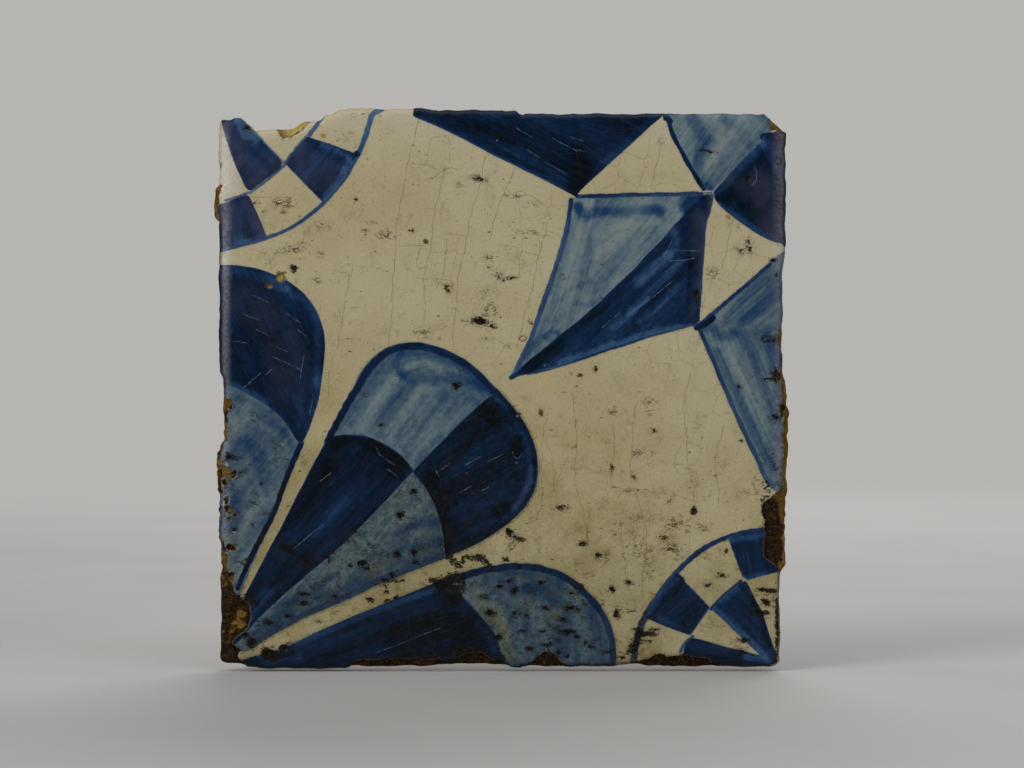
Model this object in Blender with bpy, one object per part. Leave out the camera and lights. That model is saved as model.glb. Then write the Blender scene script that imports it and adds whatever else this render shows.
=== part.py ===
"""A hand-made wall tile of tin-glazed earthenware.

The tile stands upright: the painted face looks towards -Y and the flat clay
back lies on the plane y = 0, with the origin at the middle of the back. It is
one fired piece. Its outline is that of an old tile knocked on all four sides:
each side is a nearly straight line with named swellings and bites on it, the
corners are rounded each by its own radius, and one corner is broken off
straight. The glaze ends in a soft rolled rim, or further in where it has
flaked off and the clay shows a step lower. The sides lean in towards the back,
as on tiles trimmed with a slanting knife.

Sizes below are in millimetres and are turned into metres when the mesh is made.
"""

import math

import bmesh
import bpy
import numpy as np

MM = 0.001

# --- the blank -------------------------------------------------------------
THICKNESS = 8.0        # from the clay back to the flat of the glazed face
LEFT = -66.2           # nominal places of the four sides, seen from the front
RIGHT = 66.35
TOP = 64.2
BOTTOM = -65.15
BACK_INSET = 1.1       # the slanting sides make the back this much smaller
BACK_ARRIS = 0.45      # worn edge around the back

# --- the glaze -------------------------------------------------------------
RIM_WIDTH = 2.1        # the rolled rim of the glaze, measured across the face
RIM_DROP = 1.15        # how far the rim falls towards the side
GLAZE_STEP = 0.5       # thickness of the glaze, the step down where it is lost
WORN_WIDTH = 3.4       # bare clay is rounded off over this width
WORN_DROP = 0.9

# --- corners: (right?, top?) -> radius -------------------------------------
CORNER_RADIUS = {
    (False, True): 0.9,
    (True, True): 0.8,
    (False, False): 1.9,
    (True, False): 3.6,
}
# The top right corner is broken off along a straight line: the direction that
# the break faces, and its distance from the origin.
BREAK_FACING = math.radians(48.1)
BREAK_AT = 88.75

# --- wear on the outline of the clay ---------------------------------------
# Along a side, in its own coordinate: (from, to, ramp, outwards). A negative
# figure is a bite, a positive one a swelling.
LEFT_WEAR = {
    "rusty swelling": (40.2, 46.4, 1.5, 1.15),
    "hollow by the middle": (-11.5, 1.5, 2.6, -1.0),
    "second swelling": (-23.6, -15.6, 1.6, 0.55),
    "worn foot": (-62.0, -38.0, 3.0, -0.35),
}
RIGHT_WEAR = {
    "long shallow wear": (6.0, 26.0, 9.0, -0.75),
    "clay standing proud": (-24.5, 1.5, 1.2, 0.15),
    "upper lump": (-9.5, -5.5, 1.6, 0.5),
    "lower lump": (-15.6, -13.6, 1.4, 0.35),
    "worn foot": (-62.0, -44.0, 3.2, -1.35),
}
TOP_WEAR = {
    "roll of thick glaze": (-38.0, 3.0, 2.0, 0.85),
    "broken shoulder": (-80.0, -42.6, 1.6, -1.6),
    "deepest of the shoulder": (-57.5, -49.5, 3.6, -2.0),
    "tooth on the shoulder": (-62.4, -61.0, 1.2, 0.6),
    "nick": (4.0, 5.0, 0.5, -0.3),
}
BOTTOM_WEAR = {
    "run of glaze": (-56.5, -37.0, 2.2, 0.45),
    "worn under the middle": (-14.0, 0.0, 3.0, -0.5),
    "drip": (2.2, 4.2, 0.8, 0.25),
    "hollow": (27.8, 32.0, 2.4, -0.6),
    "worn left end": (-80.0, -61.5, 3.0, -0.55),
}

# --- where the glaze ends ---------------------------------------------------
# The same kind of table, for losses of glaze that the clay does not share.
LEFT_LOSS = {
    "flaked foot": (-80.0, -45.5, 6.0, -3.1),
    "bulge of the flaked foot": (-55.4, -51.2, 4.0, -3.6),
    "low end of the flaked foot": (-80.0, -61.5, 1.8, -1.4),
    "upper spot": (40.2, 46.4, 1.5, -1.0),
    "middle spot": (-22.4, -19.4, 1.0, -1.6),
    "lower spot": (-31.0, -27.0, 1.2, -1.3),
}
RIGHT_LOSS = {
    "bare edge": (-24.5, 1.5, 1.2, -1.1),
    "big flake": (-36.8, -28.6, 4.6, -5.6),
    "top corner notch": (60.75, 80.0, 0.8, -3.6),
}
TOP_LOSS = {
    "fresh chip": (-51.4, -46.6, 1.5, -1.9),
}
BOTTOM_LOSS = {
    "left strip": (-33.0, -15.0, 2.5, -1.6),
    "middle patch": (-12.0, -4.0, 2.6, -2.5),
    "half-round patch": (7.6, 11.6, 3.4, -3.9),
    "right strip": (31.5, 52.0, 2.4, -3.2),
}

# --- fineness of the faceted solid -------------------------------------------
AROUND = 236           # points around the tile
INSETS = (0.0, 0.35, 0.85, 1.5, 2.3, 3.3, 4.5, 6.0, 7.8, 10.0)


def rise(low, high, value):
    """0 below low, 1 above high, an S between them."""
    t = np.clip((value - low) / (high - low), 0.0, 1.0)
    return t * t * (3.0 - 2.0 * t)


def wear(at, table):
    """How far a side stands out of its nominal line, from its table of spots."""
    total = np.zeros_like(at)
    for start, end, ramp, outwards in table.values():
        total += outwards * rise(start - ramp, start, at) * (1.0 - rise(end, end + ramp, at))
    return total


def ripple(at, phase):
    """The small unevenness that hand cutting and handling leave on every side."""
    return 0.09 * np.sin(at / 2.3 + phase) + 0.07 * np.sin(at / 0.93 + 2.1 * phase)


def outside(x, z, left, right, top, bottom):
    """Distance outside an outline made of four worn sides; negative inside."""
    reach_right = RIGHT + wear(z, right) + ripple(z, 0.7)
    reach_left = -LEFT + wear(z, left) + ripple(z, 2.9)
    reach_top = TOP + wear(x, top) + ripple(x, 4.4)
    reach_bottom = -BOTTOM + wear(x, bottom) + ripple(x, 1.6)
    across = np.maximum(x - reach_right, -x - reach_left)
    upwards = np.maximum(z - reach_top, -z - reach_bottom)
    radius = np.zeros_like(x)
    for (is_right, is_top), value in CORNER_RADIUS.items():
        radius = np.where(((x > 0) == is_right) & ((z > 0) == is_top), value, radius)
    a, b = across + radius, upwards + radius
    rounded = np.where((a > 0) & (b > 0), np.hypot(a, b) - radius, np.maximum(across, upwards))
    broken = x * math.cos(BREAK_FACING) + z * math.sin(BREAK_FACING) - BREAK_AT
    return np.maximum(rounded, broken)


def outside_clay(x, z):
    return outside(x, z, LEFT_WEAR, RIGHT_WEAR, TOP_WEAR, BOTTOM_WEAR)


def outside_glaze(x, z):
    return outside(
        x,
        z,
        {**LEFT_WEAR, **{"lost " + k: v for k, v in LEFT_LOSS.items()}},
        {**RIGHT_WEAR, **{"lost " + k: v for k, v in RIGHT_LOSS.items()}},
        {**TOP_WEAR, **{"lost " + k: v for k, v in TOP_LOSS.items()}},
        {**BOTTOM_WEAR, **{"lost " + k: v for k, v in BOTTOM_LOSS.items()}},
    )


def fall(x, z):
    """How far the front surface lies below the flat of the face."""
    to_side = np.maximum(-outside_clay(x, z), 0.0)
    rim = np.clip(1.0 - to_side / RIM_WIDTH, 0.0, 1.0)
    glazed = RIM_DROP * (1.0 - np.sqrt(1.0 - rim * rim))
    worn = np.clip(1.0 - to_side / WORN_WIDTH, 0.0, 1.0)
    bare = GLAZE_STEP + WORN_DROP * worn * worn
    lost = rise(-0.25, 0.35, outside_glaze(x, z))
    return glazed * (1.0 - lost) + np.maximum(bare, glazed) * lost


def outline(count):
    """Points around the clay's outline, spread evenly over the four sides."""
    places = np.arange(count) * 4.0 / count
    along = (places % 1.0) * 2.0 - 1.0
    side = places.astype(int)
    unit_x = np.choose(side, [np.ones(count), -along, -np.ones(count), along])
    unit_z = np.choose(side, [along, np.ones(count), -along, -np.ones(count)])
    low, high = np.full(count, 50.0), np.full(count, 75.0)
    for _ in range(40):
        middle = (low + high) / 2.0
        out = outside_clay(unit_x * middle, unit_z * middle) > 0
        high = np.where(out, middle, high)
        low = np.where(out, low, middle)
    return unit_x * low, unit_z * low


def ring(mesh, x, y, z):
    return [mesh.verts.new((a * MM, b * MM, c * MM)) for a, b, c in zip(x, y, z)]


def band(mesh, outer, inner):
    """One strip of quads between two rings, facing away from the tile's middle."""
    count = len(outer)
    return [
        mesh.faces.new((outer[i], inner[i], inner[(i + 1) % count], outer[(i + 1) % count]))
        for i in range(count)
    ]


def material(name, colour, roughness):
    made = bpy.data.materials.new(name)
    made.use_nodes = True
    shader = made.node_tree.nodes["Principled BSDF"]
    shader.inputs["Base Color"].default_value = (*colour, 1.0)
    shader.inputs["Roughness"].default_value = roughness
    shader.inputs["Metallic"].default_value = 0.0
    made.diffuse_color = (*colour, 1.0)
    return made


def build_tile():
    mesh = bmesh.new()
    x0, z0 = outline(AROUND)
    size = np.maximum(np.abs(x0 / RIGHT), np.abs(z0 / TOP))

    def inset(distance):
        shrink = 1.0 - distance / (size * 65.0)
        return x0 * shrink, z0 * shrink

    rings = []
    for distance in INSETS:
        x, z = inset(distance)
        drop = np.zeros(AROUND) if distance == INSETS[-1] else fall(x, z)
        rings.append(ring(mesh, x, -THICKNESS + drop, z))
    front_faces = []
    for outer, inner in zip(rings, rings[1:]):
        front_faces += band(mesh, outer, inner)
    front_faces.append(mesh.faces.new(rings[-1]))

    # The sides: a shallow swell half way down, then in to the smaller back.
    # (distance in from the rim, part of the way from the rim to the back)
    rim_y = -THICKNESS + fall(x0, z0)
    previous = rings[0]
    for distance, part in ((0.12, 0.3), (0.5, 0.66), (BACK_INSET, 1.0 - BACK_ARRIS / 7.0)):
        x, z = inset(distance + 0.1 * (1.0 + np.sin(x0 / 3.1 + z0 / 2.3)))
        now = ring(mesh, x, rim_y * (1.0 - part), z)
        band(mesh, now, previous)
        previous = now
    x, z = inset(BACK_INSET + BACK_ARRIS + 0.2)
    back = ring(mesh, x, np.zeros(AROUND), z)
    band(mesh, back, previous)
    mesh.faces.new(back[::-1])

    for face in front_faces:
        face.material_index = 0
    for face in mesh.faces:
        if face not in front_faces:
            face.material_index = 1
    bmesh.ops.recalc_face_normals(mesh, faces=mesh.faces)
    data = bpy.data.meshes.new("tile")
    mesh.to_mesh(data)
    mesh.free()
    data.shade_smooth()
    data.set_sharp_from_angle(angle=math.radians(32.0))
    data.materials.append(material("tin_glaze", (0.42, 0.37, 0.23), 0.22))
    data.materials.append(material("fired_clay", (0.42, 0.24, 0.10), 0.88))
    tile = bpy.data.objects.new("tile", data)
    bpy.context.scene.collection.objects.link(tile)
    return tile


for thing in list(bpy.data.objects):
    bpy.data.objects.remove(thing, do_unlink=True)
build_tile()
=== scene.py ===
import math

import bpy
import numpy as np
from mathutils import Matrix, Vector


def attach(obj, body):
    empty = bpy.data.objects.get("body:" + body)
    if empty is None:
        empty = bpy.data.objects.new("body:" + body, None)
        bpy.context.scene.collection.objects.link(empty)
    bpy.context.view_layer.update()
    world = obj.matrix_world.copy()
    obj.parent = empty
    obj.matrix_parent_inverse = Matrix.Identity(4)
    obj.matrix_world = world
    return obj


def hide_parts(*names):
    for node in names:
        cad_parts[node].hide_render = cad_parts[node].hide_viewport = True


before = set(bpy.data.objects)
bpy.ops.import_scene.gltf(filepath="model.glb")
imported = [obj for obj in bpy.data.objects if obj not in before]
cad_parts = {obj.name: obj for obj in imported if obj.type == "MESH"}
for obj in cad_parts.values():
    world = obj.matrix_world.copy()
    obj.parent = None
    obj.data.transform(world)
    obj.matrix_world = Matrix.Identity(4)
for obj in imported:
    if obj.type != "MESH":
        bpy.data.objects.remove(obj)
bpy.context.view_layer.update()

# The tile's visual model: a rolled, crazed and chipped layer of painted tin
# glaze (tile_glaze) on a rough clay slab (tile_clay). Lengths are millimetres
# until a mesh is made. The painting is laid out on a grid whose unit is U, with
# x to the right and y down, and the middle of the tile at (502, 388).

MM = 0.001
U = 0.2339
MID_X, MID_Y = 502.0, 388.0

# ---------------------------------------------------------------------------
# The blank: the same outline as the solid's
# ---------------------------------------------------------------------------
THICKNESS = 8.0
LEFT, RIGHT, TOP, BOTTOM = -66.2, 66.35, 64.2, -65.15
BACK_INSET = 1.1
BACK_ARRIS = 0.45
RIM_WIDTH = 2.1
RIM_DROP = 1.15
GLAZE_STEP = 0.5
WORN_WIDTH = 3.4
WORN_DROP = 0.9
CORNER_RADIUS = {(False, True): 0.9, (True, True): 0.8, (False, False): 1.9, (True, False): 3.6}
BREAK_FACING = math.radians(48.1)
BREAK_AT = 88.75

# Along a side: (from, to, ramp, outwards).
LEFT_WEAR = {
    "rusty swelling": (40.2, 46.4, 1.5, 1.15),
    "hollow by the middle": (-11.5, 1.5, 2.6, -1.0),
    "second swelling": (-23.6, -15.6, 1.6, 0.55),
    "worn foot": (-62.0, -38.0, 3.0, -0.35),
}
RIGHT_WEAR = {
    "long shallow wear": (6.0, 26.0, 9.0, -0.75),
    "clay standing proud": (-24.5, 1.5, 1.2, 0.35),
    "upper lump": (-9.5, -5.5, 1.6, 0.5),
    "lower lump": (-15.6, -13.6, 1.4, 0.35),
    "worn foot": (-62.0, -44.0, 3.2, -1.35),
}
TOP_WEAR = {
    "roll of thick glaze": (-38.0, 3.0, 2.0, 0.85),
    "highest of the roll": (-33.0, -20.0, 6.0, 0.42),
    "broken shoulder": (-80.0, -42.6, 1.6, -1.6),
    "deepest of the shoulder": (-57.5, -49.5, 3.6, -2.0),
    "tooth on the shoulder": (-62.4, -61.0, 1.2, 0.6),
    "nick": (4.0, 5.0, 0.5, -0.3),
}
BOTTOM_WEAR = {
    "run of glaze": (-56.5, -37.0, 2.2, 0.45),
    "worn under the middle": (-14.0, 0.0, 3.0, -0.5),
    "drip": (2.2, 4.2, 0.8, 0.25),
    "hollow": (27.8, 32.0, 2.4, -0.6),
    "worn left end": (-80.0, -61.5, 3.0, -0.55),
}
LEFT_LOSS = {
    "flaked foot": (-80.0, -45.5, 6.0, -3.1),
    "bulge of the flaked foot": (-55.4, -51.2, 4.0, -3.6),
    "low end of the flaked foot": (-80.0, -61.5, 1.8, -1.4),
    "upper spot": (40.2, 46.4, 1.5, -1.0),
    "clay of the second swelling": (-24.2, -14.8, 1.2, -0.8),
}
RIGHT_LOSS = {
    "bare edge": (-24.5, 1.5, 1.2, -1.1),
    "big flake": (-39.2, -27.2, 4.2, -4.9),
    "knob of the big flake": (-29.2, -28.0, 1.8, -0.75),
    "top corner notch": (60.75, 80.0, 0.8, -3.6),
}
TOP_LOSS = {
    "fresh chip": (-51.4, -46.6, 1.5, -1.9),
}
BOTTOM_LOSS = {
    "left strip": (-33.0, -15.0, 2.5, -1.6),
    "middle patch": (-7.8, -5.4, 5.6, -2.6),
    "half-round patch": (10.2, 11.0, 4.6, -3.5),
    "right strip": (33.4, 47.5, 2.4, -1.3),
    "deepest of the right strip": (37.0, 42.0, 5.0, -1.2),
    "tail of the right strip": (44.0, 48.5, 3.5, -0.6),
}
# Small islands of lost glaze on the face, in the painter's grid: x, y, half width, half height.
LOSS_SPOTS = (
    (227.0, 402.0, 3.6, 2.8), (229.5, 406.5, 2.8, 2.6), (226.0, 412.0, 2.4, 4.5), (225.0, 422.0, 1.9, 6.0), (225.5, 432.0, 1.6, 4.0),
    (222.0, 472.0, 4.0, 7.0), (226.5, 470.5, 3.4, 2.4), (229.0, 476.0, 3.6, 2.0), (224.0, 482.0, 2.4, 3.0), (234.5, 473.0, 2.2, 1.2),
    (226.5, 501.0, 1.6, 4.2), (226.5, 509.0, 3.2, 3.2), (230.5, 512.5, 3.0, 2.6), (235.0, 515.5, 3.2, 1.8), (229.0, 518.0, 2.6, 1.6),
    (221.0, 549.0, 5.0, 5.0), (228.0, 547.0, 4.0, 2.4), (234.0, 548.5, 3.2, 1.6), (222.0, 561.0, 4.6, 8.0), (221.0, 574.0, 5.0, 6.0),
    (230.5, 577.0, 3.0, 4.0), (280.5, 277.5, 4.6, 4.8),
    (269.0, 286.0, 2.4, 2.0), (780.0, 338.0, 2.0, 4.0),
    (779.5, 376.0, 2.0, 5.0), (782.0, 410.0, 2.0, 8.0),
)


def rise(low, high, value):
    t = np.clip((value - low) / (high - low), 0.0, 1.0)
    return t * t * (3.0 - 2.0 * t)


def wear(at, table):
    total = np.zeros_like(at)
    for start, end, ramp, outwards in table.values():
        total += outwards * rise(start - ramp, start, at) * (1.0 - rise(end, end + ramp, at))
    return total


def ripple(at, phase):
    return 0.09 * np.sin(at / 2.3 + phase) + 0.07 * np.sin(at / 0.93 + 2.1 * phase)


def lattice(i, j, seed):
    """A fixed pseudo-random number from 0 to 1 for each lattice point."""
    h = (i.astype(np.int64) * 374761393 + j.astype(np.int64) * 668265263 + seed * 2147483647) & 0xFFFFFFFF
    h = ((h ^ (h >> 13)) * 1274126177) & 0xFFFFFFFF
    h = ((h ^ (h >> 16)) * 2246822519) & 0xFFFFFFFF
    return ((h ^ (h >> 15)) & 0xFFFFFF) / float(0xFFFFFF)


def noise(x, z, size, seed, octaves=1):
    """Smooth noise about zero, from -1 to 1, with bumps of the given size."""
    total, weight, amount = np.zeros_like(x), 0.0, 1.0
    for octave in range(octaves):
        px, pz = x / size * 2.0 ** octave, z / size * 2.0 ** octave
        i, j = np.floor(px), np.floor(pz)
        a, b = px - i, pz - j
        a, b = a * a * (3 - 2 * a), b * b * (3 - 2 * b)
        s = seed + 17 * octave
        low = lattice(i, j, s) * (1 - a) + lattice(i + 1, j, s) * a
        high = lattice(i, j + 1, s) * (1 - a) + lattice(i + 1, j + 1, s) * a
        total += amount * (2.0 * (low * (1 - b) + high * b) - 1.0)
        weight += amount
        amount *= 0.5
    return total / weight


def outside(x, z, left, right, top, bottom, radius_more=0.0):
    reach_right = RIGHT + wear(z, right) + ripple(z, 0.7)
    reach_left = -LEFT + wear(z, left) + ripple(z, 2.9)
    reach_top = TOP + wear(x, top) + ripple(x, 4.4)
    reach_bottom = -BOTTOM + wear(x, bottom) + ripple(x, 1.6)
    across = np.maximum(x - reach_right, -x - reach_left)
    upwards = np.maximum(z - reach_top, -z - reach_bottom)
    radius = np.zeros_like(x)
    for (is_right, is_top), value in CORNER_RADIUS.items():
        radius = np.where(((x > 0) == is_right) & ((z > 0) == is_top), value + radius_more, radius)
    a, b = across + radius, upwards + radius
    rounded = np.where((a > 0) & (b > 0), np.hypot(a, b) - radius, np.maximum(across, upwards))
    broken = x * math.cos(BREAK_FACING) + z * math.sin(BREAK_FACING) - BREAK_AT
    return np.maximum(rounded, broken)


def outside_clay(x, z):
    rough = 0.10 * noise(x, z, 1.3, 5, 2)
    crumbly = rise(58, 62, x) * rise(-38, -34, z) * rise(4, 0, z) + rise(-58, -62, x) * rise(-48, -42, z) * rise(-2, -8, z)
    rough = rough + 0.26 * crumbly * noise(x, z, 0.95, 6, 2)
    return outside(x, z, LEFT_WEAR, RIGHT_WEAR, TOP_WEAR, BOTTOM_WEAR) + rough


def grid_x(x):
    return MID_X + x / U


def grid_y(z):
    return MID_Y - z / U


def outside_glaze(x, z):
    """Distance past the broken edge of the glaze, with its ragged line."""
    far = outside(
        x, z,
        {**LEFT_WEAR, **{"lost " + k: v for k, v in LEFT_LOSS.items()}},
        {**RIGHT_WEAR, **{"lost " + k: v for k, v in RIGHT_LOSS.items()}},
        {**TOP_WEAR, **{"lost " + k: v for k, v in TOP_LOSS.items()}},
        {**BOTTOM_WEAR, **{"lost " + k: v for k, v in BOTTOM_LOSS.items()}},
    )
    clay = outside(x, z, LEFT_WEAR, RIGHT_WEAR, TOP_WEAR, BOTTOM_WEAR)
    # Where the glaze is whole it is carried past the clay's side, so nothing shows there.
    inner = np.where(far > clay + 0.05, far, -4.0)
    gx, gy = grid_x(x), grid_y(z)
    for sx, sy, rx, ry in LOSS_SPOTS:
        reach = np.hypot((gx - sx) / rx, (gy - sy) / ry)
        inner = np.maximum(inner, (1.0 - reach) * min(rx, ry) * U)
    ragged = 0.34 * noise(x, z, 1.5, 11, 3) + 0.16 * noise(x, z, 0.5, 12)
    ragged = ragged + 0.42 * noise(x, z, 0.9, 13, 2) * rise(246, 238, gx) * rise(385, 400, gy)
    return inner + ragged * rise(-2.5, -0.6, inner)


# ---------------------------------------------------------------------------
# The painting: closed shapes and strokes in the painter's grid
# ---------------------------------------------------------------------------
def bend(points, steps=7):
    """A smooth line through the points."""
    p = np.array(points, float)
    if len(p) == 2:
        return p
    ends = np.vstack([2 * p[0] - p[1], p, 2 * p[-1] - p[-2]])
    t = np.linspace(0.0, 1.0, steps, endpoint=False)[:, None]
    parts = []
    for a, b, c, d in zip(ends, ends[1:], ends[2:], ends[3:]):
        parts.append(0.5 * (2 * b + (c - a) * t + (2 * a - 5 * b + 4 * c - d) * t ** 2 + (3 * b - a - 3 * c + d) * t ** 3))
    return np.vstack(parts + [p[-1:]])


def shape(*runs):
    """A closed outline made of smooth runs that meet in corners."""
    return np.vstack([bend(run) for run in runs])


def to_line(gx, gy, line, reach=16.0):
    """Distance to an open line, no further than reach."""
    line = np.asarray(line, float)
    found = np.full(gx.shape, reach)
    near = (
        (gx > line[:, 0].min() - reach) & (gx < line[:, 0].max() + reach)
        & (gy > line[:, 1].min() - reach) & (gy < line[:, 1].max() + reach)
    )
    x, y = gx[near], gy[near]
    best = np.full(x.shape, reach * reach)
    for (ax, ay), (bx, by) in zip(line, line[1:]):
        dx, dy = bx - ax, by - ay
        size = dx * dx + dy * dy
        if size < 1e-12:
            continue
        t = np.clip(((x - ax) * dx + (y - ay) * dy) / size, 0.0, 1.0)
        best = np.minimum(best, (x - ax - t * dx) ** 2 + (y - ay - t * dy) ** 2)
    found[near] = np.sqrt(best)
    return found


def to_shape(gx, gy, line, reach=16.0):
    """Signed distance to a closed outline, negative inside."""
    line = np.vstack([line, line[:1]])
    found = to_line(gx, gy, line, reach)
    near = (gx > line[:, 0].min()) & (gx < line[:, 0].max()) & (gy > line[:, 1].min()) & (gy < line[:, 1].max())
    x, y = gx[near], gy[near]
    inside = np.zeros(x.shape, bool)
    for (ax, ay), (bx, by) in zip(line, line[1:]):
        if ay == by:
            continue
        inside ^= ((ay > y) != (by > y)) & (x < (bx - ax) * (y - ay) / (by - ay) + ax)
    found[near] = np.where(inside, -found[near], found[near])
    return found


# Quarter rosette at the top left.
WEDGE = shape([(221, 112), (221, 122), (233.5, 161), (243.5, 184), (248.6, 190.6)], [(252, 190.3), (280, 168.6)],
              [(281.5, 166), (281, 160.4), (267.4, 146), (253, 130.6), (246, 123), (241, 112)])
SQUARE_B = shape([(307, 136), (358, 153.6)], [(358, 153.6), (352, 166), (344, 179), (334, 191), (322.8, 202.6)],
                 [(322.8, 202.6), (284.9, 163.8)], [(284.9, 163.8), (295, 149), (307, 136)])
SQUARE_D = shape([(210, 206), (221, 203.6), (244, 195.2), (249.8, 196.2)], [(250, 196.4), (258, 215), (267.3, 237)],
                 [(267.3, 237.4), (245, 244), (221, 249.8), (210, 252)])
ROSETTE_LINE = bend([(212, 252.5), (221, 250), (245, 244.5), (267.3, 237.4), (293, 226.6), (322.8, 203.6), (343, 178.5),
                     (357, 156), (364.5, 139), (368.5, 127), (370.5, 119), (374, 113), (382, 109)])
# The petal cut by the left edge.
PETAL_L_TOP = [(205, 264.4), (219, 264.7), (236.8, 265), (256, 268), (273.5, 274), (286.5, 280), (304, 293.4),
               (315.6, 308.7), (321, 321), (324.3, 333), (325.2, 346), (324, 362), (321.7, 383), (318.2, 402),
               (309.5, 429), (303.4, 441.5)]
PETAL_L_SPLIT = [(301, 442.8), (296.5, 440.7), (290.4, 431.5), (283.5, 421), (273.5, 411), (259, 401), (240.6, 391),
                 (230, 386.5), (205, 379)]
PETAL_L_DARK = shape(PETAL_L_TOP, PETAL_L_SPLIT)
PETAL_L_LIGHT = shape([(x + 1.6, y - 2.4) for x, y in PETAL_L_SPLIT[::-1]], [(303, 441), (290.5, 475), (279, 508), (268, 530), (253, 564), (240, 596)],
                      [(240, 596), (205, 600)])
PETAL_L_EDGE = bend([(301, 443), (287.5, 476), (276, 507), (264.5, 531), (249, 562), (238, 588)])
# The big petal on the diagonal.
PETAL_TIP = (229, 649)
PETAL_C_LEFT = [PETAL_TIP, (242.5, 601), (251, 583.6), (263.6, 559), (275, 538), (287, 515.7), (305.7, 478), (329.4, 434),
                (343, 407), (351.5, 390.5)]
PETAL_C_HEAD = [(351.5, 390.5), (360, 372.5), (373.5, 356.3), (390, 346), (409.7, 342), (432, 344.8), (456, 354),
                (478, 368.8), (496.7, 388), (511.5, 404.5), (525, 423), (534.4, 444), (538.1, 466), (536, 485.7),
                (528.7, 502), (518, 515), (500, 530), (472, 546.5), (445, 557.4)]
PETAL_C_LOW = [(445, 557.4), (413.4, 571), (376.5, 586), (339.5, 603.5), (302.5, 619.5), (272, 636), (248, 651), PETAL_TIP]
PETAL_C = shape(PETAL_C_LEFT, PETAL_C_HEAD, PETAL_C_LOW)
PETAL_C_ARC = [(326, 438), (336, 435.4), (350.6, 434.4), (369, 437), (387.5, 445.5), (402, 456), (413, 468.5)]
PETAL_C_ARC2 = [(413.4, 473), (422.7, 484.5), (432, 500), (439.3, 519), (443, 538), (444.4, 556.8)]
PETAL_C_AXIS = [(413, 471.5), (375.6, 511.7), (341.7, 545.6), (315.4, 568), (291, 589), (268, 610), (252, 626), (240, 641)]
PETAL_C_INNER = shape(PETAL_C_LEFT[:8], PETAL_C_ARC, PETAL_C_AXIS)
PETAL_C_OUTER = shape([(491, 394.5), (470, 413), (445, 438), (427, 456), (413, 471)], PETAL_C_ARC2,
                      [(444.4, 558), (472, 546.5), (500, 530), (518, 515), (528.7, 502), (536, 485.7), (538.1, 466),
                       (534.4, 444), (525, 423), (511.5, 404.5), (498, 391)])
PETAL_C_RIM = bend([(327.5, 441), (342.5, 413), (353.5, 394), (358, 388), (365.5, 374.5), (376.5, 361), (391.5, 350.5),
                    (409.7, 346.2), (431, 348.8), (454, 357.8), (475.5, 372.5), (493.5, 391), (508.5, 408)])
PETAL_C_FOOT_EDGE = bend([(444, 555.5), (412, 567.5), (375, 582.5), (338, 600), (301, 616), (271, 632.5), (250, 646)])
# The petal cut by the bottom edge.
PETAL_B_TOP = [(240, 662), (247, 658), (284, 647), (321, 630), (358, 614), (395, 599), (430, 584.6), (450, 576.5),
               (472, 570), (490, 566.3), (508, 564), (524, 563.6), (541, 565.6), (560, 571.5), (576, 581), (590, 593.5),
               (602, 607.5), (610.5, 623), (615, 640), (616.3, 655), (616, 680)]
PETAL_B = shape(PETAL_B_TOP, [(616, 680), (236, 680)])
PETAL_B_DARK = shape(PETAL_B_TOP[:8], [(452, 583), (465, 599), (482, 617.5), (496, 636), (504, 662), (505, 680)],
                     [(505, 680), (236, 680)])
PETAL_B_RIM = bend([(452, 579.5), (472, 573.2), (490, 569.4), (508, 567), (524, 566.6), (540.5, 568.7), (558.5, 574.5),
                    (574, 583.7), (587.5, 595.7), (599, 609.5)])
PETAL_B_RIM_LOW = bend([(587.5, 595.7), (599, 609.5), (607, 624.5), (611.5, 641), (612.6, 655), (612.5, 680)])
# The star at the top right.
TOP_TRIANGLE = shape([(413, 95), (413, 116.5)], [(413, 116.5), (437, 126.5), (460.6, 138), (487.4, 152), (514, 165.5),
                      (550, 183.5), (566, 191.5), (576, 197)], [(576, 197), (583, 188.5), (609, 164.6), (632, 143.5),
                      (650, 127), (665, 113), (672, 95)])
KITE = shape([(570, 197.6), (700, 192.6)], [(700, 192.6), (713, 192), (712.5, 201)],
             [(712.5, 201), (706, 226), (703.6, 262), (701, 301), (699, 321.5), (694.7, 325)],
             [(694.7, 325), (653, 336), (595.7, 354.5), (557.4, 367.5), (511, 378.5)],
             [(511, 378.5), (510.5, 375.5), (528.7, 339), (542.5, 299), (554, 266.5), (564, 233)], [(564, 233), (570, 197.6)])
KITE_DARK = shape([(687, 196), (680.5, 205.5), (684, 214), (672.2, 227), (661, 240), (647, 253.5), (631.4, 271),
                   (611, 290), (600.8, 300.3), (589.6, 310.5), (573.3, 324.5), (560, 334.5), (541, 350), (522, 366),
                   (511, 378.5)], [(511, 378.5), (557.4, 366), (595.7, 353), (653, 334.5), (694.7, 325)],
                  [(694.7, 325), (699, 321.5), (701, 301), (703.6, 262), (706, 226), (711, 203), (710, 194)])
KITE_TOP_LINE = bend([(577, 196.4), (620, 195.4), (660, 194.4), (702, 193.6)])
KITE_LEFT_LINE = bend([(571.5, 200), (566, 233), (556, 266), (544.5, 299), (531, 338), (517, 369)])
KITE_LOW_LINE = bend([(695, 324.2), (653, 335.2), (596, 353.8), (557, 366.6), (528, 374)])
KITE_RIGHT_LINE = bend([(711.5, 196), (708.5, 212), (704.4, 226), (701.6, 262), (699.6, 301), (697.5, 319)])
CORNER_LIGHT = shape([(666.5, 95), (667, 115), (672, 134), (684, 157), (703, 190)], [(703, 190), (712.5, 191)],
                     [(712.5, 191), (740, 163), (766, 136.5)], [(766, 136.5), (795, 110), (795, 95)])
CORNER_LINE = bend([(667.5, 117), (672.5, 134), (684.5, 157), (703.5, 189)])
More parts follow.
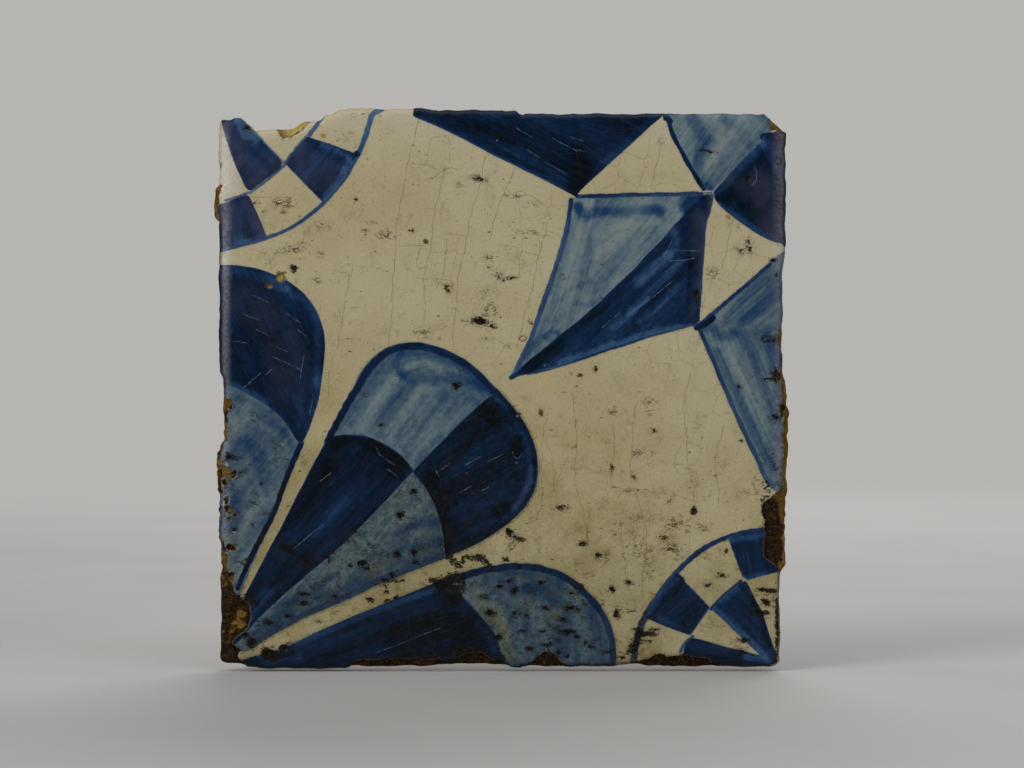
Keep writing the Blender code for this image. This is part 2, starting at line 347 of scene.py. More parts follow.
CORNER_DARK = shape([(713.0, 191.2), (738.5, 163.5), (763, 139)], [(763, 141), (775, 131), (795, 131)],
                    [(795, 131), (795, 246), (781, 243.5), (772, 241.5), (756.5, 233.7), (737.4, 220.7), (722, 208.5), (715, 200)])
KITE_R = shape([(698, 324), (735, 292.5), (771, 261), (795, 243)], [(795, 243), (795, 500)], [(795, 500), (775, 491), (768, 486)],
               [(768, 486), (761, 471.5), (753.5, 456), (746, 440.5), (733.6, 413), (723, 388), (713, 365), (703, 341), (698, 328)])
KITE_R_TOP_LINE = bend([(700, 325), (736, 294), (770, 264.5)])
KITE_R_LEFT_LINE = bend([(699.5, 328), (704.5, 341), (714.7, 364.5), (724.7, 387.5), (735.3, 412.5), (747.7, 440), (755.2, 455.5),
                         (762.7, 471), (769, 485)])
# Quarter rosette at the bottom right.
ROSETTE2_LINE = bend([(631.5, 680), (632, 663), (635.8, 644.5), (642.4, 622.4), (654, 601), (668.5, 581.5), (684.5, 564),
                      (703.5, 549), (726, 537.5), (745, 532.5), (772, 528.5)])
SQUARE_UR = shape([(727, 537), (745, 532), (772, 529)], [(772, 529), (795, 568)], [(795, 568), (772.8, 573.5), (748, 580.7)],
                  [(748, 580.7), (742, 577)], [(742, 577), (727, 537)])
SQUARE_L2 = shape([(677, 573.6), (710.7, 607.4)], [(710.7, 608), (702, 619), (690.6, 636)], [(690.6, 636), (668, 627.5), (645, 617.7)],
                  [(645, 617.7), (654, 601.5), (665, 586), (677, 573.6)])
WEDGE2 = shape([(742.5, 581.5), (747, 582.4), (753.7, 595), (763, 614), (771, 638), (777, 655)],
               [(777, 655), (777, 664), (768, 664)], [(768, 662), (749, 645), (726, 623), (711.8, 610)],
               [(711.8, 609), (724, 596), (742.5, 581.5)])
WEDGE3 = shape([(685, 644), (690, 639), (697, 638.4), (728, 647.3), (745, 651), (762, 655.5)], [(762, 655.5), (771, 664)],
               [(771, 668), (740, 680), (690, 680)], [(690, 680), (682, 662), (685, 644)])

DARK = (WEDGE, SQUARE_B, SQUARE_D, PETAL_L_DARK, PETAL_C_INNER, PETAL_C_OUTER, PETAL_B_DARK, TOP_TRIANGLE, KITE_DARK,
        CORNER_DARK, SQUARE_UR, SQUARE_L2, WEDGE2, WEDGE3)
WASH = (PETAL_L_LIGHT, PETAL_C, PETAL_B, KITE, CORNER_LIGHT, KITE_R)
# Outlines drawn with a loaded brush: line and width; the deep lines go in with the thick cobalt, the mid lines in a
# blue of their own.
DEEP_LINES = (
    (PETAL_C_RIM, 8.0), (PETAL_B_RIM, 7.6), (PETAL_L_EDGE, 6.0), (CORNER_LINE, 5.0),
    (bend([(356.6, 152.8), (357.6, 154.4)]), 5.4), (bend([(666.5, 117), (670, 121)]), 7.4),
    (bend([(764.5, 137.5), (769, 137)]), 9.0), (bend([(697, 327), (706, 323.5), (713, 318)]), 7.0),
    (bend([(511, 377.5), (517, 374)]), 5.0), (bend([(677, 575), (683, 580)]), 5.0),
)
MID_LINES = (
    (ROSETTE_LINE[:44], 4.0), (ROSETTE_LINE[40:60], 5.2), (ROSETTE_LINE[56:], 6.2),
    (bend([(309, 135), (317, 124), (322, 116)]), 4.6), (KITE_TOP_LINE, 4.6), (KITE_LEFT_LINE, 5.2), (KITE_LOW_LINE, 3.6),
    (KITE_RIGHT_LINE, 4.4), (PETAL_C_FOOT_EDGE, 6.4), (PETAL_B_RIM_LOW, 6.6), (KITE_R_TOP_LINE, 4.6),
    (KITE_R_LEFT_LINE, 5.0), (ROSETTE2_LINE, 5.4), (bend([(632, 668), (635.6, 646), (641.4, 625.5), (646.5, 614.5)]), 6.8), (bend([(693, 636.5), (685, 643.5), (680.5, 652)]), 3.4), (bend([(250.5, 192.5), (266, 181), (284.5, 164.6)]), 3.6),
    (bend([(285, 162.6), (294, 150.5), (306.6, 136.2)]), 3.4), (bend([(253, 130), (268, 147), (284, 162.4)]), 2.6),
    (bend([(224.5, 200.6), (236, 197.4), (251, 192)]), 2.6), (bend([(357, 156), (346, 178), (324, 203)]), 3.0), (bend([(711, 609), (719, 600), (741, 581)]), 3.4),
)

# Soft variations of the paint: points, width, strength. Positive is more cobalt.
WASH_SMEARS = (
    # light half of the kite: the band under the top line, and the one down the left side
    ([(577, 207), (583, 213), (600, 211.5), (625, 212), (650, 210), (661, 211)], 11, 0.42),
    ([(579, 206), (582, 214), (588, 217.5)], 9, 0.32), ([(655, 210), (661, 214.5)], 9, 0.28),
    ([(686, 197), (683, 206), (686, 213)], 10, 0.5), ([(585, 222), (587, 250), (583, 285)], 13, 0.2),
    ([(567, 230), (559, 262), (549, 292)], 8, 0.16), ([(577, 303), (588, 305), (603, 299)], 7, 0.22),
    ([(545, 338), (549, 331), (556, 331.5), (561, 337)], 4.5, 0.42), ([(523, 357), (533, 345), (545, 335)], 7, 0.26),
    ([(563, 300), (570, 290), (592, 281)], 4, 0.14), ([(600, 245), (611, 236), (640, 220)], 4, 0.10),
    ([(612, 283), (622, 271), (668, 226)], 6, -0.16), ([(612, 226), (640, 224), (660, 222)], 5, -0.14),
    # light corner field
    ([(690, 104), (693, 118), (700, 132), (706, 141)], 15, 0.40), ([(700, 150), (698, 166), (702, 181), (708, 188)], 11, 0.34),
    ([(742, 105), (760, 114), (776, 121)], 13, 0.26), ([(722, 118), (738, 130), (750, 146)], 9, 0.12),
    ([(709, 104), (717, 116), (721, 138), (714, 160)], 9, -0.16), ([(670, 120), (676, 142), (690, 168)], 6, -0.12),
    # right half-kite
    ([(706, 325), (714, 330), (722, 336), (733, 334)], 12, 0.38), ([(724, 322), (742, 300), (767, 279)], 8, 0.18),
    ([(745, 318), (764, 303), (780, 291)], 10, 0.28), ([(739, 330), (757, 366), (776, 420)], 10, 0.22),
    ([(716, 352), (733, 386), (757, 440), (772, 468)], 9, 0.30), ([(724, 345), (743, 380), (765, 428)], 5, -0.12),
    ([(765, 330), (777, 370), (779, 440)], 12, 0.22),
    # head of the big petal: the turning strokes
    ([(401, 352), (397, 362), (398, 370), (405, 377)], 7, 0.32), ([(405, 377), (425, 381), (455, 379), (483, 387)], 11, 0.26),
    ([(403, 352), (430, 354), (462, 366), (492, 392)], 8, 0.14), ([(408, 366), (424, 363), (440, 368)], 6, -0.30),
    ([(440, 354), (465, 370), (482, 388)], 5, 0.16), ([(470, 398), (476, 404), (484, 402)], 8, 0.18),
    ([(403, 388), (390, 402), (377, 424)], 6, 0.16), ([(425, 396), (410, 414), (396, 436)], 7, 0.24),
    ([(447, 396), (430, 414), (412, 440), (404, 448)], 6, 0.18), ([(358, 410), (349, 424)], 8, 0.10),
    ([(418, 462), (428, 448), (440, 436)], 6, 0.22), ([(394, 380), (377, 400), (361, 426)], 5, -0.10),
    ([(418, 400), (404, 420), (392, 440)], 5, -0.10), ([(437, 402), (420, 424), (408, 446)], 5, -0.12),
    # light right side of the big petal
    ([(437, 522), (425, 522), (409, 527), (398, 533)], 8, 0.36), ([(441, 541), (420, 546), (398, 551)], 9, 0.28),
    ([(420, 500), (405, 497), (395, 497)], 6, 0.14), ([(376, 573), (346, 588), (320, 598)], 10, 0.20),
    ([(335, 574), (312, 590), (290, 604)], 8, 0.22), ([(290, 612), (266, 627), (250, 640)], 13, 0.22),
    ([(262, 640), (277, 634), (300, 622)], 5, 0.12), ([(400, 480), (378, 504), (362, 520)], 7, -0.16),
    # light part of the left petal
    ([(240, 398), (253, 404), (262, 415)], 9, 0.12), ([(243, 440), (256, 452), (264, 478)], 15, 0.24), ([(222, 404), (234, 420), (240, 432)], 11, -0.14),
    ([(270, 423), (283, 432), (290, 444)], 8, 0.26), ([(226, 480), (236, 500), (233, 530)], 12, 0.22),
    ([(240, 545), (247, 520), (262, 500)], 8, -0.20), ([(246, 413), (258, 424), (275, 430)], 7, -0.16),
    # light part of the bottom petal
    ([(500, 571), (524, 570.5), (548, 577), (565, 587)], 10, 0.22), ([(527, 588), (543, 590), (554, 600)], 13, 0.44),
    ([(590, 612), (598, 630), (602, 655)], 12, 0.20), ([(565, 605), (562, 625), (566, 650)], 11, 0.16),
    ([(475, 577), (500, 580), (520, 590)], 9, 0.12), ([(490, 606), (500, 618), (507, 640)], 12, -0.34),
    ([(520, 603), (530, 612), (535, 630)], 12, -0.16), ([(455, 585), (462, 592), (480, 604)], 8, -0.14),
)
DARK_SMEARS = (
    # wedge of the top-left rosette: bright at the top middle
    ([(238, 116), (243, 123), (250, 133)], 15, 0.44), ([(240, 120), (250, 134)], 24, 0.16), ([(246, 130), (252, 140)], 18, 0.20), ([(252, 136), (262, 148), (272, 158)], 12, 0.16),
    ([(240, 150), (250, 160), (262, 170)], 14, 0.18), ([(322, 145), (350, 157)], 6, 0.26),
    ([(350, 162), (340, 180), (326, 198)], 9, 0.46), ([(300, 146), (310, 150), (318, 160)], 10, 0.10),
    ([(333, 165), (344, 170)], 8, 0.22), ([(225, 240), (250, 240), (264, 234)], 6, 0.30), ([(230, 246), (250, 241)], 4, 0.3),
    # left petal
    ([(222, 270), (245, 272), (268, 280), (284, 287)], 12, 0.30), ([(288, 289), (306, 303), (316, 322), (318, 350), (316, 385)], 9, 0.24),
    ([(232, 384), (250, 393), (266, 401)], 8, 0.34), ([(308, 432), (313, 405), (317, 380)], 10, 0.20),
    ([(295, 395), (302, 410), (300, 425)], 8, 0.16), ([(240, 330), (262, 345), (276, 372)], 34, -0.14),
    # big petal
    ([(332, 445), (350, 440), (372, 444), (392, 455), (405, 466)], 8, -0.25), ([(376, 447), (385, 458), (398, 476)], 12, -0.2),
    ([(399, 478), (375, 502), (345, 530), (318, 556)], 12, 0.09), ([(365, 480), (340, 505), (312, 535)], 10, 0.16),
    ([(300, 530), (285, 556), (262, 590)], 8, 0.10), ([(262, 596), (280, 585), (300, 565)], 9, 0.12),
    ([(246, 620), (256, 606), (270, 592)], 12, 0.22), ([(330, 460), (318, 485), (300, 516)], 9, -0.16),
    ([(523, 432), (528, 448), (530, 466)], 6.5, 0.24), ([(530.5, 466), (529, 482), (523, 496), (514, 509)], 6.4, 0.42), ([(500, 412), (516, 440), (522, 470)], 9, 0.12),
    ([(497, 399), (510, 414), (521, 434)], 5, 0.30), ([(516, 440), (516.5, 452)], 11, -0.45), ([(506, 508), (498, 512)], 14, -0.25),
    ([(455, 470), (480, 448), (500, 430)], 13, 0.10), ([(462, 512), (490, 490), (505, 478)], 22, 0.10),
    ([(430, 478), (440, 500), (446, 540)], 14, -0.3), ([(480, 405), (495, 420)], 14, -0.25), ([(470, 532), (500, 518), (516, 508)], 9, 0.18),
    # bottom petal
    ([(260, 656), (300, 642), (350, 622), (400, 602), (440, 588)], 7, 0.42), ([(300, 652), (350, 636), (400, 616), (430, 606)], 14, 0.18),
    ([(265, 664), (300, 660)], 10, 0.3), ([(400, 640), (440, 625), (470, 635)], 36, -0.24), ([(476, 622), (492, 645), (498, 668)], 7, 0.22),
    # top triangle
    ([(420, 120), (455, 136), (500, 159), (560, 190)], 9, 0.30), ([(516, 150), (545, 164), (562, 178)], 12, 0.16),
    ([(600, 168), (630, 140), (655, 116)], 10, 0.20), ([(577, 190), (580, 175), (578, 150)], 18, -0.18),
    ([(540, 112), (600, 114), (650, 112)], 7, 0.14), ([(455, 116), (500, 118)], 10, 0.12),
    # dark half of the kite
    ([(680, 206), (688, 203), (694, 198)], 12, 0.22), ([(672, 230), (655, 250), (630, 275), (600, 303)], 8, 0.12),
    ([(675, 232), (676, 245), (668, 255)], 10, 0.34), ([(668, 256), (650, 272), (640, 282)], 12, 0.44),
    ([(680, 262), (655, 288), (630, 312)], 8, 0.32), ([(678, 285), (660, 305), (640, 322)], 6, 0.28),
    ([(612, 328), (630, 315), (648, 300)], 7, 0.26), ([(690, 325), (660, 330), (610, 345), (560, 362)], 5, 0.4),
    ([(696, 225), (693, 260), (692, 300)], 12, -0.16), ([(560, 345), (545, 356), (528, 370)], 12, -0.3), ([(585, 322), (600, 312), (634, 272)], 7, -0.12),
    # dark corner field
    ([(717, 190), (740, 167), (762, 145)], 10, 0.36), ([(765, 143), (772, 150), (776, 165)], 12, 0.24),
    ([(720, 205), (740, 219), (760, 232), (778, 241)], 6, 0.42), ([(735, 195), (750, 205), (765, 205)], 16, -0.1),
    # bottom-right rosette
    ([(730, 540), (750, 537), (768, 534)], 6, 0.4), ([(735, 575), (748, 578), (765, 573)], 5, 0.3),
    ([(650, 612), (662, 594), (676, 580)], 7, 0.36), ([(686, 583), (700, 597)], 9, 0.1), ([(660, 618), (680, 628)], 6, 0.24),
    ([(716, 610), (735, 628), (755, 646), (765, 655)], 8, 0.42), ([(720, 600), (736, 590)], 8, 0.3),
    ([(752, 600), (762, 620), (769, 642)], 8, -0.25), ([(745, 656), (756, 658), (768, 661)], 8, 0.5),
    ([(692, 634), (703, 620), (710, 610)], 6, 0.42), ([(690, 645), (705, 646), (725, 652)], 8, 0.12), ([(710, 660), (735, 662)], 14, -0.1),
)
# A purplish grey bloom where the glaze is worn or catches a film of dirt, partly a painted sheen: the reflections down
# the left and right edges.
BLOOM_AND_SHEEN_SMEARS = (
    ([(224, 118), (230, 135), (238, 160)], 10, 0.9), ([(262, 175), (250, 185)], 12, 0.4), ([(228, 205), (229, 225), (227, 246)], 16, 0.55),
    ([(246, 202), (254, 218), (262, 232)], 12, 0.5), ([(302, 145), (300, 165), (312, 185)], 12, 0.3), ([(722, 185), (735, 178), (745, 195)], 14, 0.3),
    ([(760, 180), (765, 205), (774, 230)], 26, 0.75), ([(776, 140), (780, 170)], 14, 0.6), ([(699, 215), (697, 240), (697, 252)], 14, 0.75),
    ([(711, 196), (708, 212), (704, 240), (701, 300)], 6, 0.8), ([(698, 262), (696, 290), (692, 318)], 9, 0.35),
    ([(773, 280), (776, 310), (778, 345)], 16, 0.55), ([(776, 360), (777, 400), (778, 450)], 12, 0.35),
    ([(300, 395), (303, 412)], 6, 0.2), ([(245, 300), (280, 335), (288, 385)], 44, 0.34), ([(230, 140), (246, 170), (266, 168)], 34, 0.55), ([(296, 158), (334, 182)], 44, 0.44), ([(222, 215), (258, 230)], 44, 0.62), ([(530, 468), (528, 484), (520, 499)], 6, 0.5), ([(224, 275), (226, 330), (227, 392)], 9, 0.35), ([(634, 660), (637, 640), (646, 615)], 6, 0.12),
    ([(226, 130), (226, 170)], 8, 0.3),
)
# Brown-black dirt worked into the worn glaze.
GRIME_SMEARS = (
    ([(440, 586), (455, 578), (459, 587), (452, 600)], 18, 1.0), ([(463, 558), (472, 556.5), (480, 557.5)], 7.5, 0.97), ([(480, 557.5), (486, 563), (490, 569)], 9, 1.0),
    ([(455, 563), (461, 565)], 8, 0.95), ([(447, 559), (453, 560)], 5, 0.8), ([(432, 580), (440, 583)], 8, 0.75), ([(270, 655), (266, 652)], 13, 1.0),
    ([(283, 648.5), (290, 646)], 9, 0.9), ([(251.5, 643), (253, 643)], 9, 0.8), ([(245, 635), (247, 636)], 6, 0.8),
    ([(257, 624), (268, 620)], 9, 0.45), ([(434, 612), (430, 640)], 26, 0.36), ([(400, 660), (440, 655), (480, 655)], 16, 0.8),
    ([(455, 650), (480, 657), (500, 661)], 16, 0.9), ([(455, 540), (450, 552)], 14, 0.45), ([(446, 545), (447, 556)], 10, 0.6),
    ([(281, 547), (292, 550)], 10, 0.95), ([(303, 559), (311, 563)], 8, 0.9), ([(276, 562), (284, 564)], 6, 0.8), ([(251, 600), (257, 603)], 8, 0.95), ([(259, 583), (263, 584)], 5, 0.7), ([(324, 556), (330, 560)], 6, 0.7), ([(243, 598), (238, 606)], 12, 0.5),
    ([(228, 455), (236, 458)], 8, 0.7), ([(240, 563), (247, 560)], 7, 0.7), ([(265, 514), (271, 515)], 6, 0.6),
    ([(632, 629.5), (639, 629)], 4.5, 1.0), ([(635, 636), (647, 633.5), (656, 634)], 6.5, 0.95), ([(628, 650.5), (636, 650)], 4, 1.0), ([(634, 643), (641, 644)], 5, 0.95), ([(646, 641), (651, 642)], 4, 0.85), ([(745, 590), (752, 600)], 4, 0.3),
    ([(752, 614), (768, 613)], 5, 0.95), ([(760, 590), (776, 592)], 4, 0.95), ([(764, 601), (768, 604)], 6, 0.9), ([(777, 600), (778, 640)], 3, 1.0), ([(735, 640), (745, 640)], 7, 0.5),
    ([(765, 484), (768, 492), (764, 500)], 9, 0.7), ([(771, 450), (776, 470)], 6, 0.6), ([(774, 376), (776, 380)], 7, 0.6),
    ([(766, 338), (776, 340)], 7, 0.5), ([(690, 262), (699, 275)], 5, 0.3), ([(694, 292), (699, 300)], 8, 0.5), ([(548, 648), (552, 640)], 8, 0.6),
    ([(690, 655), (720, 658), (740, 656)], 8, 0.4), ([(776, 608), (777, 622)], 5, 0.6), ([(777, 640), (776, 660)], 5, 0.8),
    ([(350, 585), (370, 580)], 10, 0.2), ([(300, 500), (330, 480)], 20, 0.1), ([(455, 475), (462, 470)], 9, 0.4), ([(462, 490), (480, 478)], 14, 0.2),
    ([(240, 402), (236, 460), (240, 540)], 8, 0.15), ([(277, 358), (283, 365)], 8, 0.35), ([(520, 590), (540, 588)], 8, 0.2),
)
# Pits and pinholes: x, y, half width, half height, tilt in degrees, depth in mm, kind.
# Kinds: h = open dark hole, r = ring of dirt round a pale middle, s = brown stain, o = ochre spot, w = white fleck of
# bare glaze, some of them painted glints of light.
PITS = (
    (247.5, 128, 3.5, 2.8, 0, 0.30, "h"), (283, 203, 10, 4.0, 0, 0.15, "q"), (256.5, 204, 3.2, 2.6, 0, 0.2, "q"), (264, 212, 3.6, 1.0, 5, 0.1, "s"),
    (283, 214, 1.6, 1.6, 0, 0.1, "s"), (292, 249.5, 8, 3.0, 5, 0.12, "q"), (293.5, 268.5, 4.6, 3.4, 30, 0.35, "h"), (278, 254, 3.5, 1.4, 0, 0.1, "s"),
    (320, 254.7, 2.2, 2.0, 0, 0.15, "q"), (316.4, 281, 2.6, 1.8, 0, 0.2, "s"), (355.6, 199.5, 1.9, 1.9, 0, 0.3, "h"), (357, 192.5, 3.4, 0.8, -15, 0.1, "s"),
    (365, 233, 1.8, 2.4, 0, 0.12, "q"), (386, 234.5, 7, 4.0, 0, 0.1, "q"), (333, 223, 1.0, 4.8, 25, 0.1, "s"), (322, 228, 3.5, 0.9, 30, 0.1, "s"),
    (426, 241.5, 2.8, 2.6, 20, 0.3, "o"), (412, 230.5, 2.6, 0.9, 20, 0.1, "h"), (479.7, 179, 5.0, 1.5, 15, 0.2, "h"), (519, 196, 3.6, 3.0, 0, 0.15, "q"),
    (480, 321.5, 7.5, 3.8, 12, 0.4, "h"), (492, 326, 3.4, 1.8, 10, 0.2, "h"), (491, 310, 4.6, 3.4, 35, 0.2, "q"), (447.7, 289, 1.6, 3.4, -35, 0.12, "h"),
    (489, 257, 2.2, 2.2, 0, 0.15, "s"), (455, 309, 4, 1.0, 20, 0.1, "s"), (424, 332, 5, 2.4, 0, 0.08, "s"), (355, 308, 7, 0.9, 0, 0.1, "s"), (329, 301, 5, 2.0, 15, 0.1, "q"),
    (350, 339.5, 10, 0.8, 0, 0.08, "s"), (346, 369, 3, 1.6, 0, 0.1, "s"), (563, 277, 3.4, 3.6, 0, 0.2, "r"), (713.5, 273, 4.0, 4.0, 20, 0.15, "r"),
    (748.4, 241, 1.4, 1.4, 0, 0.2, "h"), (750, 249, 1.5, 2.2, 0, 0.25, "h"), (741, 250.5, 1.6, 1.2, 0, 0.15, "h"), (523, 339, 4.2, 3.0, 0, 0.25, "r"),
    (580, 375.5, 3.2, 2.0, 0, 0.2, "o"), (595.7, 369.4, 1.8, 2.6, 20, 0.3, "h"), (778.7, 161.6, 4.2, 3.8, 0, 0.25, "r"), (747, 178.5, 3.6, 3.4, 0, 0.3, "h"),
    (706.5, 151, 6.5, 1.5, 8, 0.15, "h"), (696, 294, 3.4, 4.2, 10, 0.3, "h"), (773, 260.5, 3.0, 2.2, 0, 0.2, "h"), (776, 275, 2.4, 1.0, 0, 0.2, "h"), (768.8, 339.4, 8, 3.6, -6, 0.3, "r"),
    (770, 379, 5.5, 1.3, 0, 0.3, "h"), (776, 374, 2.2, 5.5, 0, 0.3, "h"), (738.8, 386.5, 1.9, 1.9, 0, 0.3, "h"), (775.7, 416.8, 4.0, 1.8, 20, 0.3, "h"),
    (693.8, 511.5, 3.8, 4.2, 40, 0.35, "h"), (741.4, 441.5, 1.6, 1.6, 0, 0.35, "h"), (611.9, 468.8, 1.6, 3.2, 0, 0.3, "h"), (597.6, 555, 2.6, 2.8, 30, 0.3, "h"),
    (605.6, 554, 1.8, 2.2, 0, 0.2, "q"), (612, 590, 2.7, 2.6, 0, 0.4, "h"), (617, 614, 2.8, 4.2, 0, 0.35, "h"), (582.7, 543.6, 3.2, 1.8, 0, 0.3, "h"),
    (669.5, 501.5, 1.8, 1.6, 0, 0.3, "h"), (679, 495.7, 1.3, 1.3, 0, 0.2, "s"), (560.8, 507, 4.6, 1.6, 0, 0.3, "h"), (509.5, 532.5, 3.4, 4.6, -35, 0.35, "h"),
    (515.5, 537.5, 4.8, 1.7, 35, 0.3, "h"), (521.5, 539.6, 4.4, 2.4, 10, 0.15, "o"), (511.5, 546, 3.6, 4.0, 0, 0.1, "r"), (505.4, 560, 3.0, 2.0, 30, 0.3, "h"),
    (664.9, 537.3, 3.8, 1.7, 0, 0.2, "o"), (653.6, 430.8, 2.8, 1.0, 10, 0.2, "h"), (652.5, 596, 2.6, 2.0, 0, 0.1, "y"), (413.8, 491.8, 3.4, 3.4, 0, 0.4, "h"),
    (400.5, 515.7, 3.9, 3.4, 10, 0.4, "h"), (363, 563.5, 4.4, 3.4, 0, 0.35, "h"), (366, 568, 2.6, 1.4, 30, 0.3, "h"), (414.6, 552.7, 3.1, 3.1, 0, 0.25, "h"), (397.8, 555.4, 3.8, 3.0, 20, 0.3, "h"),
    (416, 562.8, 2.6, 2.0, 0, 0.3, "h"), (351, 565.4, 1.8, 1.6, 0, 0.3, "h"), (391.8, 575, 3.0, 1.7, 0, 0.3, "h"), (384.5, 580.5, 3.0, 1.7, 0, 0.3, "h"), (393, 581, 3.0, 1.5, 10, 0.3, "h"),
    (385, 586, 2.0, 1.8, 0, 0.3, "h"), (386.7, 592, 1.7, 1.6, 0, 0.3, "h"), (370, 599.8, 3.6, 2.0, 8, 0.35, "h"), (402, 580.5, 1.8, 1.8, 0, 0.3, "h"), (396.5, 598, 2.4, 1.6, 0, 0.3, "h"), (387, 601, 2.2, 1.3, 0, 0.25, "h"),
    (456.5, 386, 4.4, 3.2, 15, 0.25, "h"), (461.5, 373.5, 5.6, 3.0, 25, 0.15, "q"), (366.5, 395, 3.2, 3.2, 0, 0.15, "r"), (381, 425, 2.4, 1.7, 0, 0.25, "h"), (421, 427, 5.5, 3.4, 10, 0.15, "q"),
    (470, 478, 1.6, 1.6, 0, 0.3, "h"), (518.7, 414.5, 1.5, 1.5, 0, 0.35, "h"), (261.3, 484, 2.5, 2.3, 0, 0.0, "b"), (235, 530, 1.8, 1.8, 0, 0.35, "h"), (229, 458, 3.4, 2.6, 0, 0.3, "h"),
    (519, 441, 0.1, 0.1, 0, 0.0, "s"), (271, 655.5, 8.8, 5.4, 12, 0.25, "h"), (283.7, 648.8, 4.2, 3.6, 0, 0.25, "h"), (251.8, 643.4, 4.2, 4.4, 0, 0.25, "h"), (246, 636, 2.4, 2.6, 0, 0.25, "h"), (272.6, 647, 2.2, 1.4, 0, 0.2, "o"),
    (319, 622, 3.2, 1.4, 10, 0.15, "o"), (334.5, 596.3, 2.0, 1.4, 20, 0.2, "h"), (304, 604, 3.6, 2.0, 0, 0.2, "h"), (287.4, 616, 2.4, 1.4, -20, 0.2, "h"), (303, 594, 4.0, 1.6, 10, 0.2, "h"), (270, 623, 3.6, 1.6, 0, 0.2, "h"),
    (500, 586.8, 3.4, 2.0, 5, 0.3, "h"), (515, 590.8, 3.8, 3.2, -20, 0.3, "h"), (509, 581, 2.6, 1.4, -10, 0.25, "h"), (482.5, 597.5, 3.2, 1.8, 0, 0.3, "r"), (490, 613, 4.4, 2.8, 15, 0.25, "h"), (513.5, 612.8, 1.8, 1.6, 0, 0.3, "h"),
    (526.5, 615.5, 1.6, 1.6, 0, 0.3, "h"), (522, 631, 3.0, 1.2, 8, 0.3, "h"), (546, 608, 3.0, 1.6, 10, 0.3, "h"), (543, 631, 3.0, 0.9, 0, 0.2, "h"), (498, 638, 3.6, 2.6, 0, 0.25, "h"), (529.5, 649, 3.8, 1.8, 5, 0.3, "h"), (547, 644.5, 3.0, 0.8, 0, 0.2, "h"),
    (570.5, 608.5, 4.4, 2.4, 0, 0.3, "h"), (578, 609.5, 2.4, 1.2, 10, 0.2, "h"), (563, 619.6, 4.4, 1.6, 10, 0.25, "h"), (568, 632.5, 5.8, 2.6, 0, 0.3, "h"), (577.5, 636.5, 2.6, 1.6, 0, 0.25, "h"), (585.4, 642.6, 1.5, 1.8, 0, 0.25, "h"),
    (590, 646.6, 3.2, 1.1, 10, 0.2, "h"), (606, 651.4, 3.4, 1.2, -8, 0.2, "h"), (558.3, 652.5, 2.2, 2.0, 0, 0.25, "h"), (566.5, 656, 2.4, 1.2, 0, 0.2, "h"), (580.5, 586, 3.0, 2.0, 20, 0.25, "h"), (571, 593, 1.8, 1.2, 0, 0.2, "h"), (542, 582.5, 3.4, 1.6, 0, 0.2, "h"),
    (610, 605, 2.8, 1.2, 0, 0.2, "s"), (629, 582.5, 2.8, 1.6, 20, 0.2, "h"), (613, 580, 3.0, 0.7, 0, 0.1, "s"), (629.5, 611.5, 2.4, 0.9, 0, 0.2, "h"), (650, 596, 0.1, 0.1, 0, 0, "s"), (663, 542, 2.4, 1.2, 0, 0.1, "s"),
    (654, 629.6, 4.2, 1.2, 0, 0.25, "h"), (640.5, 633.5, 4.6, 3.0, 20, 0.25, "h"), (649, 634, 3.0, 0.9, 8, 0.2, "h"), (637.5, 640, 4.0, 1.2, 0, 0.25, "h"), (633, 646.5, 3.8, 1.8, -8, 0.25, "h"), (629, 652.6, 3.8, 0.8, 0, 0.2, "h"), (622, 657.5, 3.0, 1.0, 0, 0.2, "h"),
    (722, 575, 3.0, 1.5, 10, 0.25, "h"), (708, 585.5, 2.4, 1.0, 10, 0.2, "h"), (719, 566, 0.1, 0.1, 0, 0, "s"), (721, 549.5, 3.6, 0.9, 10, 0.15, "s"), (726.5, 551, 1.3, 2.0, 30, 0.15, "h"), (766.5, 602.5, 3.0, 2.4, 0, 0.3, "h"), (768, 590, 6.0, 1.4, 6, 0.25, "h"),
    (757, 613, 6.5, 2.6, 0, 0.2, "h"), (744.5, 640.5, 3.8, 1.8, 0, 0.25, "h"), (743, 652.5, 3.4, 1.4, 10, 0.2, "h"), (777, 626, 2.0, 2.6, 0, 0.2, "h"), (579.5, 505.5, 0.1, 0.1, 0, 0, "s"), (615, 412, 3.4, 2.2, 0, 0.12, "s"),
    (649, 403, 3.6, 2.4, 0, 0.12, "s"), (541, 412.5, 2.2, 3.6, -15, 0.1, "o"), (634, 477, 2.6, 1.6, 30, 0.12, "o"), (676, 527, 5.0, 2.0, -10, 0.12, "q"), (704, 527.5, 2.6, 1.4, 0, 0.12, "s"), (670, 547, 5.4, 3.0, 20, 0.1, "q"), (519.5, 231, 3, 0.9, 0, 0.1, "s"),
    (638, 452.5, 6.5, 2.0, 5, 0.08, "s"), (582, 548, 0.1, 0.1, 0, 0, "s"), (672, 541, 2, 0.8, 0, 0.1, "s"), (581, 563, 6.0, 0.9, 0, 0.1, "s"), (623, 569, 2.6, 0.8, 0, 0.1, "s"), (515, 216, 1.6, 1.6, 0, 0.12, "s"), (534, 231.5, 1.6, 1.2, 0, 0.12, "s"),
    (500, 278, 3.4, 1.2, 40, 0.12, "h"), (510, 278.5, 4.4, 0.8, -6, 0.1, "h"), (531, 323, 1.6, 1.0, 30, 0.15, "h"), (508, 318, 2, 0.8, 0, 0.1, "s"), (522, 355, 2, 1.0, 0, 0.1, "s"), (323.5, 136, 3.0, 2.2, 10, 0.05, "y"),
    (728, 217, 3.4, 2.0, 25, 0.0, "y"), (545, 109.5, 5.5, 1.8, 0, 0.3, "o"), (695, 112.4, 4.5, 1.2, 0, 0.2, "o"), (744, 112.4, 3.6, 1.2, 0, 0.2, "o"), (219.8, 165, 2.4, 3.4, 0, 0.1, "s"), (659, 141, 1.4, 2.0, 20, 0.1, "s"),
